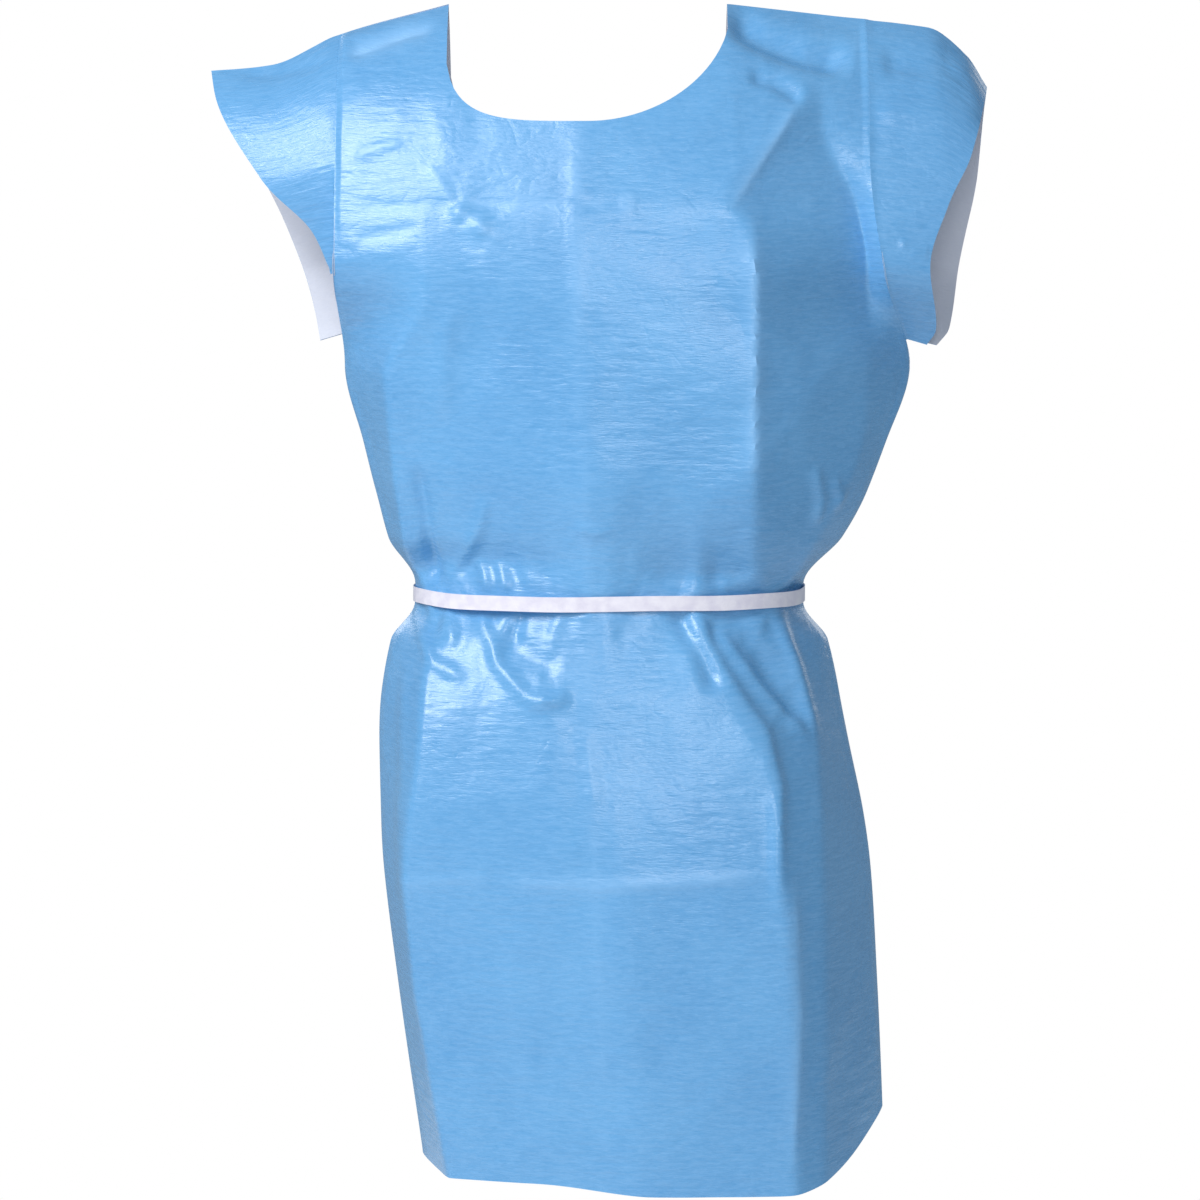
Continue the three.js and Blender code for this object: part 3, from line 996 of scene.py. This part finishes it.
FRONT_CREASES = (
    Fold([(-22, -104), (-20, -200), (-18, -313)], 0.0016, 0.004, FoldKind.CREASE),
    Fold([(-14, -290), (-10, -500), (-6, -700), (6, -1000)], 0.0006, 0.0035, FoldKind.CREASE),
    Fold([(-228, -176), (-120, -172), (-20, -173), (26, -172)], -0.0014, 0.004, FoldKind.CREASE),
    Fold([(-213, -205), (-185, -199), (-153, -192)], -0.0020, 0.0035, FoldKind.CREASE),
    Fold([(-212, -132), (-190, -126), (-166, -119)], 0.0018, 0.003, FoldKind.CREASE),
    Fold([(-222, -47), (-200, -39), (-170, -28), (-140, -19)], -0.0045, 0.005, FoldKind.CREASE),
    Fold([(22, -160), (24, -170), (24, -182)], 0.0022, 0.0035, FoldKind.CREASE),
    Fold([(-150, -138), (-138, -152), (-126, -172), (-116, -190)], 0.0018, 0.005, FoldKind.CREASE),
    Fold([(-120, -196), (-104, -190), (-84, -204)], 0.0020, 0.004, FoldKind.CREASE),
    Fold([(128, -178), (131, -240), (132, -310), (131, -420)], 0.0026, 0.005, FoldKind.CREASE),
    Fold([(172, -83), (150, -118), (128, -150), (108, -180)], 0.0024, 0.004, FoldKind.CREASE),
    Fold([(166, -735), (170, -860), (166, -1010)], 0.0020, 0.004, FoldKind.CREASE),
    Fold([(-92, -748), (-60, -753), (2, -753), (90, -748), (158, -744)], 0.0022, 0.0045, FoldKind.CREASE),
    Fold([(-180, -760), (-130, -752), (-92, -748)], 0.0012, 0.0035, FoldKind.CREASE),
)

BACK_LINES = (
    PlaneLine(
        mm_profile((-1024, -120), (-700, -150), (-515, -120), (-300, -180), (0, -200)),
        mm_profile((-1024, -4), (-515, 0), (-300, -4), (0, 0)),
    ),
    PlaneLine(mm_profile((-1024, 46), (0, 2)), mm_profile((-1100, 0), (100, 0))),
    PlaneLine(
        mm_profile((-1024, 200), (-700, 165), (-515, 130), (-300, 190), (0, 200)),
        mm_profile((-1024, -4), (-515, 0), (-300, -4), (0, 0)),
    ),
)

BACK_FOLDS = (
    Fold([(-150, -120), (-120, -200), (-95, -320), (-60, -420)], 0.0045, 0.012),
    Fold([(150, -110), (135, -200), (100, -330), (62, -430)], 0.0045, 0.012),
    Fold([(-60, -540), (-90, -620), (-105, -740)], 0.0045, 0.009),
    Fold([(70, -540), (110, -630), (140, -760)], 0.0045, 0.009),
)

BACK_CREASES = (
    Fold([(-215, -172), (-100, -174), (-20, -173)], 0.0013, 0.0035, FoldKind.CREASE),
    Fold([(20, -173), (100, -172), (215, -176)], 0.0013, 0.0035, FoldKind.CREASE),
    Fold([(-180, -752), (-80, -752), (0, -752)], 0.0014, 0.004, FoldKind.CREASE),
    Fold([(30, -752), (120, -752), (220, -752)], 0.0014, 0.004, FoldKind.CREASE),
    Fold([(-110, -110), (-112, -300), (-112, -480)], 0.0010, 0.0035, FoldKind.CREASE),
    Fold([(115, -110), (118, -300), (116, -480)], 0.0010, 0.0035, FoldKind.CREASE),
)

ROOT = "gown_body"


@dataclass
class GownBody:
    """The front and the two halves of the back, in film and tissue."""

    flat_front: tuple[float, float] = (0.62, 1.067)
    flat_back: tuple[float, float] = (0.31, 1.067)
    front_neck: float = 0.0216
    back_neck: float = 0.0127
    blend_length: float = 0.13

    def dress(self, piece: bpy.types.Object) -> None:
        """Logs the finished piece's face count.

        Args:
            piece: the finished piece.
        """
        log.info("%s: %d faces", piece.name, len(piece.data.polygons))

    def build_front(self, finishes: Finishes) -> None:
        """Makes the front, which rides on the body."""
        panel = Panel(
            Way.FRONT, FRONT_LINES,
            [
                Crumple(31).lift, Gathers(64, (-0.165, 0.165), 11).lift, *[f.lift for f in FRONT_FOLDS],
                *[ladder.lift for ladder in FRONT_LADDERS],
            ],
            FRONT_CREASES,
        )
        sheet = panel.make()
        sheet = self.with_crease_highlight(panel, sheet)
        sheet = self.cut_edges(sheet, Way.FRONT)
        for ply, material in ((FILM, finishes.film), (TISSUE, finishes.tissue)):
            piece = solid_mesh(f"front_{ply.name}_sheet", sheet, ply, material)
            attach(piece, ROOT)
            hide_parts(f"front_{ply.name}")
            self.dress(piece)

    def with_crease_highlight(self, panel: Panel, sheet: Sheet) -> Sheet:
        """Carries the creases' painted-highlight mask in the flat coordinates' third column until the sheet
        is cut.
        """
        sheet.flat = np.concatenate([sheet.flat, panel.crease_highlight[:, None]], 1)
        return sheet

    def cut_edges(self, sheet: Sheet, way: Way) -> Sheet:
        """Cuts the hem and the neck."""
        sheet = sheet.trimmed(sheet.points[:, 2] - SHAPE.hem_edge_z(sheet.points[:, 0]))
        sheet = sheet.trimmed(SHAPE.neck_edge_z(sheet.points[:, 0], way) - sheet.points[:, 2])
        sheet.flat, sheet.crease_highlight = sheet.flat[:, :2], sheet.flat[:, 2]
        return sheet

    def build_back(self, finishes: Finishes) -> None:
        """Makes both halves of the back."""
        for name, side in (("left", 1), ("right", -1)):
            panel = Panel(
                Way.BACK, BACK_LINES,
                [Crumple(84).lift, Gathers(60, (-0.165, 0.165), 5).lift, *[f.lift for f in BACK_FOLDS]],
                BACK_CREASES,
            )
            sheet = self.with_crease_highlight(panel, panel.make())
            x, z = sheet.points[:, 0], sheet.points[:, 2]
            sheet = sheet.trimmed(side * (x - SHAPE.opening_edge(side, z)))
            sheet = self.cut_edges(sheet, Way.BACK)
            corner = f"skirt_corner_{name}"
            joint = next(j for j in frame["joints"] if j["child"] == corner)
            start, end = self.corner_blend(joint, side)
            for ply, material in ((FILM, finishes.film), (TISSUE, finishes.tissue)):
                piece = solid_mesh(f"back_{name}_{ply.name}_sheet", sheet, ply, material)
                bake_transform(piece)
                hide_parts(f"back_{name}_{ply.name}", f"{corner}_{ply.name}")
                self.dress(piece)

    def corner_blend(self, joint: dict[str, Any], side: int) -> tuple[Vector, Vector]:
        """Where a back half starts and ends its turn about its corner's fold.

        Args:
            joint: the corner's joint.
            side: 1 for the wearer's left.

        Returns:
            The two points.
        """
        start, axis = Vector(joint["pos_m"]), Vector(joint["axis"]).normalized()
        if axis.z > 0:
            axis = -axis
        inward = Vector((-side, 0, -1))
        inward = (inward - inward.dot(axis) * axis).normalized()
        inward.y = 0
        return start, start + inward.normalized() * self.blend_length


# ---------------------------------------------------------------- sleeves


@dataclass(frozen=True)
class SleeveFace:
    """One face of a cap sleeve: where it ends on the body, where its rim ends, and the rim by height."""

    end: float
    rim_end: float
    rim: Profile


@dataclass
class CapSleeve:
    """A cap sleeve: one sheet from the front of the armhole over the shoulder to its back."""

    name: str
    side: int
    tip_z: float
    front: SleeveFace
    back: SleeveFace
    flattening: float
    lifts: Sequence[Fold | Tuck]
    step: float = 0.004
    seam_guard: float = 0.06
    blend_length: float = 0.075
    flat: tuple[float, float] = (0.071, 0.61)
    face_length: float = 0.29
    reach: float = 0.115
    uv_half: float = 0.3
    crumple_seed: int = 55
    crumple_share: float = 0.5

    def column(self, face: SleeveFace, way: Way, t: float, count: int) -> np.ndarray:
        """Points from the body out to the rim.

        Args:
            face: the face the column lies on.
            way: front or back.
            t: 0 at the shoulder fold, 1 at the face's lower end.
            count: how many points.

        Returns:
            An array of points.
        """
        top_z = float(SHAPE.shoulder_z(SHAPE.centre(0.0) + self.side * SHAPE.half_width(0.0)))
        z = top_z + t * (face.end - top_z)
        body = SHAPE.body(np.array([float(self.side)]), np.array([z]), way)[0]
        rim_z = self.tip_z + t * (face.rim_end - self.tip_z)
        out = np.linspace(0.0, 1.0, count)
        x = body[0] + out * (self.side * float(face.rim(rim_z)) - body[0])
        bulge = SHAPE.shoulder_z(x) - (top_z + out * (self.tip_z - top_z))
        height = body[2] + out * (rim_z - body[2]) + bulge * (1 - t)
        y = SHAPE.shoulder_y + (body[1] - SHAPE.shoulder_y) * (1 - self.flattening * out)
        return np.stack([x, y, height], -1)

    def build(self, finishes: Finishes) -> None:
        """Makes both plies."""
        rows = int(self.face_length / self.step)
        count = int(self.reach / self.step)
        t = np.linspace(0.0, 1.0, rows)
        grid = np.stack(
            [self.column(self.front, Way.FRONT, s, count) for s in t[:0:-1]]
            + [self.column(self.back, Way.BACK, s, count) for s in t]
        )
        out = np.repeat(np.linspace(0.0, 1.0, count)[None, :], len(grid), 0)
        girth = np.repeat(np.linspace(-self.uv_half, self.uv_half, len(grid))[:, None], count, 1)
        if self.side > 0:
            grid, out, girth = grid[:, ::-1], out[:, ::-1], girth[:, ::-1]
        sheet = grid_sheet(grid, np.stack([grid[..., 0], girth], -1))
        normals = sheet.normals()
        if normals[:, 2].sum() < 0:
            sheet.faces = [tuple(reversed(f)) for f in sheet.faces]
            normals = -normals
        x, z = sheet.points[:, 0], sheet.points[:, 2]
        guard = smoothstep(0.0, self.seam_guard, out.ravel())
        facing = np.clip(-normals[:, 1], 0, 1)
        crumple = self.crumple_share * Crumple(self.crumple_seed).lift(x, z)
        lift = crumple + facing * sum(f.lift(x, z) for f in self.lifts)
        sheet.points = sheet.points + normals * (lift * guard)[:, None]
        sheet.crease_highlight = np.zeros(len(sheet.points))
        hinge = Vector(next(j for j in frame["joints"] if j["child"] == f"sleeve_{self.name}")["pos_m"])
        for ply, material in ((FILM, finishes.film), (TISSUE, finishes.tissue)):
            piece = solid_mesh(f"sleeve_{self.name}_{ply.name}_sheet", sheet, ply, material)
            end = hinge + Vector((self.side * self.blend_length, 0, 0))
            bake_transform(piece)
            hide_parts(f"sleeve_{self.name}_{ply.name}")
            log.info("%s: %d faces", piece.name, len(piece.data.polygons))


LEFT_FRONT_RIM = mm_profile((-297, 286), (-286, 293), (-240, 284), (-197, 299), (-151, 320), (-72, 339))
LEFT_BACK_RIM = mm_profile((-298, 296), (-286, 308), (-230, 321), (-150, 335), (-72, 339))
RIGHT_FRONT_RIM = mm_profile((-240, 242), (-205, 252), (-153, 293), (-85, 333), (-58, 340))
RIGHT_BACK_RIM = mm_profile((-294, 246), (-271, 252), (-193, 280), (-110, 320), (-58, 340))

SLEEVES = (
    CapSleeve(
        "left", 1, -0.072,
        SleeveFace(-0.292, -0.297, LEFT_FRONT_RIM),
        SleeveFace(-0.292, -0.298, LEFT_BACK_RIM),
        0.08,
        (
            Fold([(240, -50), (275, -51), (318, -48)], -0.0060, 0.012),
            Fold([(232, -92), (285, -96), (335, -100)], 0.0030, 0.010),
            Fold([(255, -205), (270, -213), (285, -216)], 0.0022, 0.003, FoldKind.CREASE),
        ),
    ),
    CapSleeve(
        "right", -1, -0.058,
        SleeveFace(-0.234, -0.240, RIGHT_FRONT_RIM),
        SleeveFace(-0.288, -0.294, RIGHT_BACK_RIM),
        0.20,
        (
            Tuck([(-300, -156), (-262, -148), (-225, -138)], -0.236, -0.300, 0.024, 0.09),
            Fold([(-318, -62), (-280, -60), (-236, -50)], -0.0045, 0.005, FoldKind.CREASE),
        ),
    ),
)


# ---------------------------------------------------------------- waist tie


class StripTree:
    """Geometry Nodes that turn a line of points into a flat strip with square ends."""

    def __init__(self, material: bpy.types.Material) -> None:
        """Builds the tree.

        Args:
            material: finish of every strip.
        """
        tree = bpy.data.node_groups.new("flat_strip", "GeometryNodeTree")
        face = tree.interface
        face.new_socket("Geometry", in_out="INPUT", socket_type="NodeSocketGeometry")
        face.new_socket("Width", in_out="INPUT", socket_type="NodeSocketFloat")
        face.new_socket("Thickness", in_out="INPUT", socket_type="NodeSocketFloat")
        face.new_socket("Geometry", in_out="OUTPUT", socket_type="NodeSocketGeometry")
        self.tree = tree
        start = tree.nodes.new("NodeGroupInput")
        end = tree.nodes.new("NodeGroupOutput")
        to_curve = tree.nodes.new("GeometryNodeMeshToCurve")
        facing = tree.nodes.new("GeometryNodeInputNamedAttribute")
        facing.data_type = "FLOAT_VECTOR"
        facing.inputs["Name"].default_value = "outward"
        turn = tree.nodes.new("GeometryNodeSetCurveNormal")
        turn.mode = "FREE"
        section = tree.nodes.new("GeometryNodeCurvePrimitiveQuadrilateral")
        sweep = tree.nodes.new("GeometryNodeCurveToMesh")
        sweep.inputs["Fill Caps"].default_value = True
        realize = tree.nodes.new("GeometryNodeRealizeInstances")
        finish = tree.nodes.new("GeometryNodeSetMaterial")
        finish.inputs["Material"].default_value = material
        link = tree.links.new
        link(start.outputs["Geometry"], to_curve.inputs[0])
        link(to_curve.outputs[0], turn.inputs["Curve"])
        link(facing.outputs[0], turn.inputs["Normal"])
        link(start.outputs["Thickness"], section.inputs["Width"])
        link(start.outputs["Width"], section.inputs["Height"])
        link(turn.outputs[0], sweep.inputs["Curve"])
        link(section.outputs[0], sweep.inputs["Profile Curve"])
        link(sweep.outputs[0], realize.inputs[0])
        link(realize.outputs[0], finish.inputs["Geometry"])
        link(finish.outputs[0], end.inputs[0])

    def strip(self, name: str, route: np.ndarray, outward: np.ndarray, width: float, thickness: float,
              closed: bool = False) -> bpy.types.Object:
        """A strip along a route, as a plain mesh.

        Args:
            name: the piece's name.
            route: points of its middle line.
            outward: the direction its face looks at each point.
            width: its width.
            thickness: its thickness.
            closed: whether the route comes back to its start.

        Returns:
            The new object.
        """
        count = len(route)
        mesh = bpy.data.meshes.new(name + "_line")
        edges = [(i, i + 1) for i in range(count - 1)] + ([(count - 1, 0)] if closed else [])
        mesh.from_pydata(route.tolist(), edges, [])
        facing = mesh.attributes.new("outward", "FLOAT_VECTOR", "POINT")
        facing.data.foreach_set("vector", outward.astype(np.float32).ravel())
        line = bpy.data.objects.new(name + "_line", mesh)
        bpy.context.collection.objects.link(line)
        modifier = line.modifiers.new("strip", "NODES")
        modifier.node_group = self.tree
        sockets = {s.name: s.identifier for s in self.tree.interface.items_tree if s.in_out == "INPUT"}
        modifier[sockets["Width"]] = width
        modifier[sockets["Thickness"]] = thickness
        depsgraph = bpy.context.evaluated_depsgraph_get()
        made = bpy.data.meshes.new_from_object(line.evaluated_get(depsgraph), depsgraph=depsgraph)
        bpy.data.objects.remove(line)
        made.name = name
        made.shade_smooth()
        made.set_sharp_from_angle(angle=SHARP_EDGE)
        piece = bpy.data.objects.new(name, made)
        bpy.context.collection.objects.link(piece)
        return piece


@dataclass
class WaistTie:
    """The tie: its run round the waist, the knot at the centre back, two loops and two ends."""

    width: float = 0.013
    bow_width: float = 0.0122
    thickness: float = 0.0006
    stand_off: float = 0.0014
    loop_depth: float = 0.008
    run_points: int = 180
    waist_power: float = 2 / 2.3
    wobbles: tuple[tuple[float, int, float], ...] = ((0.0005, 4, 0.6), (0.0003, 9, 0.0))
    knot_grid: tuple[int, int] = (28, 48)
    knot_power: float = 0.8
    knot_waist_power: float = 0.7
    knot_pinch: float = 0.10
    loop_points: int = 60
    loop_edge: float = 0.009
    loop_swell: float = 0.42
    loop_pinch: float = 0.45
    loop_sag: float = 0.006
    end_points: int = 30
    end_sway: float = 0.002
    stand_off_end: float = 0.0015
    end_clearance: float = 0.005
    end_ripple: float = 0.0025
    end_twist: float = 0.5

    def build_run(self, strips: StripTree) -> None:
        """Makes the run round the waist."""
        turns = np.linspace(0, 2 * math.pi, self.run_points, endpoint=False)
        points = []
        for turn in turns:
            share = math.copysign(abs(math.sin(turn)) ** self.waist_power, math.sin(turn))
            way = Way.FRONT if math.cos(turn) > 0 else Way.BACK
            points.append(SHAPE.body(np.array([share]), np.array([SHAPE.waist_z]), way)[0])
        route = np.array(points)
        along = np.roll(route, -1, 0) - np.roll(route, 1, 0)
        outward = np.stack([along[:, 1], -along[:, 0], np.zeros(len(along))], 1)
        outward /= np.linalg.norm(outward, axis=1, keepdims=True)
        wobble = sum(size * np.sin(waves * turns + start) for size, waves, start in self.wobbles)
        route = route + outward * self.stand_off
        route[:, 2] += wobble
        piece = strips.strip("tie_run", route, outward, self.width, self.thickness, closed=True)
        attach(piece, ROOT)
        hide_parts("waist_tie")

    def build_knot(self, finishes: Finishes) -> None:
        """Makes the knot: a tight wrap of strip with pinched folds."""
        low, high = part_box("tie_knot")
        middle, half = np.array((low + high) / 2), np.array((high - low) / 2)
        rows, columns = self.knot_grid
        points, faces = [], []
        for i in range(rows + 1):
            lat = -math.pi / 2 + math.pi * i / rows
            for j in range(columns):
                lon = 2 * math.pi * j / columns
                pinch = 1 - self.knot_pinch * abs(math.sin(2.5 * lat + 0.8 * math.sin(lon))) * math.cos(lat)
                ring = abs(math.cos(lat)) ** self.knot_waist_power
                x = math.copysign(abs(math.cos(lon)) ** self.knot_power, math.cos(lon)) * ring
                y = math.copysign(abs(math.sin(lon)) ** self.knot_power, math.sin(lon)) * ring
                z = math.copysign(abs(math.sin(lat)) ** self.knot_power, math.sin(lat))
                points.append((middle + half * np.array([x, y, z]) * pinch).tolist())
        for i in range(rows):
            for j in range(columns):
                a, b = i * columns + j, i * columns + (j + 1) % columns
                faces.append((a, b, b + columns, a + columns))
        mesh = bpy.data.meshes.new("knot")
        mesh.from_pydata(points, [], faces)
        bm = bmesh.new()
        bm.from_mesh(mesh)
        bmesh.ops.remove_doubles(bm, verts=bm.verts, dist=1e-6)
        bmesh.ops.recalc_face_normals(bm, faces=bm.faces)
        bm.to_mesh(mesh)
        bm.free()
        mesh.shade_smooth()
        mesh.materials.append(finishes.tie)
        piece = bpy.data.objects.new("knot", mesh)
        bpy.context.collection.objects.link(piece)
        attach(piece, ROOT)
        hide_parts("tie_knot")

    def build_bow(self, strips: StripTree) -> None:
        """Makes the loops and the ends."""
        for name, side in (("left", 1), ("right", -1)):
            self.build_loop(strips, name, side)
            self.build_end(strips, name, side)

    def build_loop(self, strips: StripTree, name: str, side: int) -> None:
        """Makes one loop: strip that runs out and comes back on itself."""
        low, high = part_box(f"tie_loop_{name}")
        y = (low.y + high.y) / 2
        inner = Vector((low.x if side > 0 else high.x, y, high.z - self.loop_edge))
        outer = Vector((high.x if side > 0 else low.x, y, low.z + self.loop_edge))
        along = (outer - inner).normalized()
        reach = (outer - inner).length
        turns = np.linspace(0.0, 2 * math.pi, self.loop_points)
        open_share = self.loop_pinch + (1 - self.loop_pinch) * np.sin(turns / 2) ** 2
        swell = np.sin(turns) * self.loop_depth * self.loop_swell * open_share
        place = (1 - np.cos(turns)) / 2 * reach
        sag = -self.loop_sag * np.sin(np.pi * place / reach)
        route = np.array([list(inner + along * float(p)) for p in place])
        route[:, 1] += swell
        route[:, 2] += sag
        tangent = np.gradient(route, axis=0)
        across = np.cross(np.array(along), np.array([0.0, 1.0, 0.0]))
        outward = np.cross(tangent, across)
        outward /= np.maximum(np.linalg.norm(outward, axis=1, keepdims=True), 1e-9)
        piece = strips.strip(f"loop_{name}", route, outward, self.bow_width, self.thickness)
        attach(piece, f"tie_loop_{name}")
        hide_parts(f"tie_loop_{name}")

    def build_end(self, strips: StripTree, name: str, side: int) -> None:
        """Makes one free end, hanging over the skirt."""
        low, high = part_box(f"tie_end_{name}")
        down = np.linspace(0.0, 1.0, self.end_points)
        near, far = (low.x, high.x) if side > 0 else (high.x, low.x)
        half = side * self.width / 2
        x = near + half + down * (far - near - 2 * half) + side * self.end_sway * np.sin(5 * down)
        z = high.z - down * (high.z - low.z)
        surface = SHAPE.body(np.zeros(self.end_points), z, Way.BACK)[:, 1]
        waist_y = float(SHAPE.back_depth(SHAPE.waist_z)) + self.stand_off_end
        y = np.maximum(surface, waist_y) + self.end_clearance
        y += self.end_ripple * np.sin(2.2 * math.pi * down) * down
        route = np.stack([x, y, z], -1)
        tangent = np.gradient(route, axis=0)
        twist = self.end_twist * down * side
        across = np.stack([np.cos(twist), np.sin(twist), np.zeros(self.end_points)], -1)
        outward = np.cross(across, tangent)
        outward /= np.linalg.norm(outward, axis=1, keepdims=True)
        piece = strips.strip(f"end_{name}", route, outward, self.bow_width, self.thickness)
        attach(piece, f"tie_end_{name}")
        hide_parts(f"tie_end_{name}")

    def build(self, finishes: Finishes) -> None:
        """Makes the whole tie."""
        strips = StripTree(finishes.tie)
        self.build_run(strips)
        self.build_knot(finishes)
        self.build_bow(strips)


# ---------------------------------------------------------------- studio


@dataclass(frozen=True)
class SoftBox:
    """A rectangular studio light."""

    name: str
    place: tuple[float, float, float]
    aim: tuple[float, float, float]
    size: tuple[float, float]
    power: float

    def build(self) -> None:
        """Adds the light."""
        data = bpy.data.lights.new(self.name, "AREA")
        data.shape = "RECTANGLE"
        data.size, data.size_y = self.size
        data.energy = self.power
        lamp = bpy.data.objects.new(self.name, data)
        lamp.location = self.place
        lamp.rotation_euler = (Vector(self.aim) - Vector(self.place)).to_track_quat("-Z", "Y").to_euler()
        bpy.context.collection.objects.link(lamp)


@dataclass
class Studio:
    """Pale floor, soft lights and the camera."""

    camera_place: tuple[float, float, float] = (0.0, -3.98, -0.12)
    camera_aim: tuple[float, float, float] = (0.0, 0.0, -0.522)
    lens: float = 136.0
    sensor: float = 36.0
    floor_z: float = -1.62
    floor_reach: float = 2.1
    floor_glow: float = 0.10
    room_light: float = 0.36
    room_colour: tuple[float, float, float, float] = (0.74, 0.89, 1.0, 1.0)
    lights: tuple[SoftBox, ...] = (
        SoftBox("key", (-2.0, -2.4, 1.5), (0.0, 0.0, -0.35), (1.6, 1.6), 112.0),
        SoftBox("front", (0.1, -3.6, 0.5), (0.0, 0.0, -0.35), (0.7, 0.7), 24.0),
        SoftBox("fill", (2.6, -2.4, -0.4), (0.0, 0.0, -0.5), (1.4, 2.0), 3.0),
        SoftBox("back_left", (-1.6, 3.2, 0.8), (0.0, 0.0, -0.5), (1.4, 1.8), 16.0),
        SoftBox("back_right", (1.6, 3.2, 0.4), (0.0, 0.0, -0.5), (1.4, 1.8), 10.0),
    )

    def build_camera(self) -> None:
        """Adds the camera, which looks at the gown's front from a little above its middle."""
        data = bpy.data.cameras.new("camera")
        data.lens, data.sensor_width = self.lens, self.sensor
        camera = bpy.data.objects.new("camera", data)
        camera.location = self.camera_place
        aim = Vector(self.camera_aim) - Vector(self.camera_place)
        camera.rotation_euler = aim.to_track_quat("-Z", "Y").to_euler()
        bpy.context.collection.objects.link(camera)
        bpy.context.scene.camera = camera

    def build_room(self) -> None:
        """Adds the floor, the lights and an even pale world."""
        mesh = bpy.data.meshes.new("floor")
        reach = self.floor_reach
        ring = [(-reach, -reach), (reach, -reach), (reach, reach), (-reach, reach)]
        mesh.from_pydata([(x, y, self.floor_z) for x, y in ring], [], [(0, 1, 2, 3)])
        pale = bpy.data.materials.new("pale_floor")
        NodeTree(pale).set(
            Base_Color=(0.9, 0.9, 0.9, 1.0),
            Roughness=0.9,
            Emission_Color=(1.0, 1.0, 1.0, 1.0),
            Emission_Strength=self.floor_glow,
        )
        mesh.materials.append(pale)
        floor = bpy.data.objects.new("floor", mesh)
        bpy.context.collection.objects.link(floor)
        for light in self.lights:
            light.build()
        world = bpy.data.worlds.new("studio")
        world.use_nodes = True
        nodes, link = world.node_tree.nodes, world.node_tree.links.new
        room, screen = nodes["Background"], nodes.new("ShaderNodeBackground")
        choice = nodes.new("ShaderNodeMixShader")
        room.inputs["Color"].default_value = self.room_colour
        room.inputs["Strength"].default_value = self.room_light
        screen.inputs["Strength"].default_value = 1.0
        screen.inputs["Color"].default_value = (1.0, 1.0, 1.0, 1.0)
        link(nodes.new("ShaderNodeLightPath").outputs["Is Camera Ray"], choice.inputs[0])
        link(room.outputs[0], choice.inputs[1])
        link(screen.outputs[0], choice.inputs[2])
        link(choice.outputs[0], nodes["World Output"].inputs[0])
        bpy.context.scene.world = world
        bpy.context.scene.view_settings.view_transform = "Standard"


def main() -> None:
    """Builds the gown around the frame, then the studio."""
    logging.basicConfig(level=logging.INFO, format="%(name)s: %(message)s")
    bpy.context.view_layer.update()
    studio = Studio()
    studio.build_camera()
    finishes = Finishes.make()
    body = GownBody()
    body.build_front(finishes)
    body.build_back(finishes)
    for sleeve in SLEEVES:
        sleeve.build(finishes)
    WaistTie().build(finishes)
    studio.build_room()


if __name__ == "__main__":
    main()
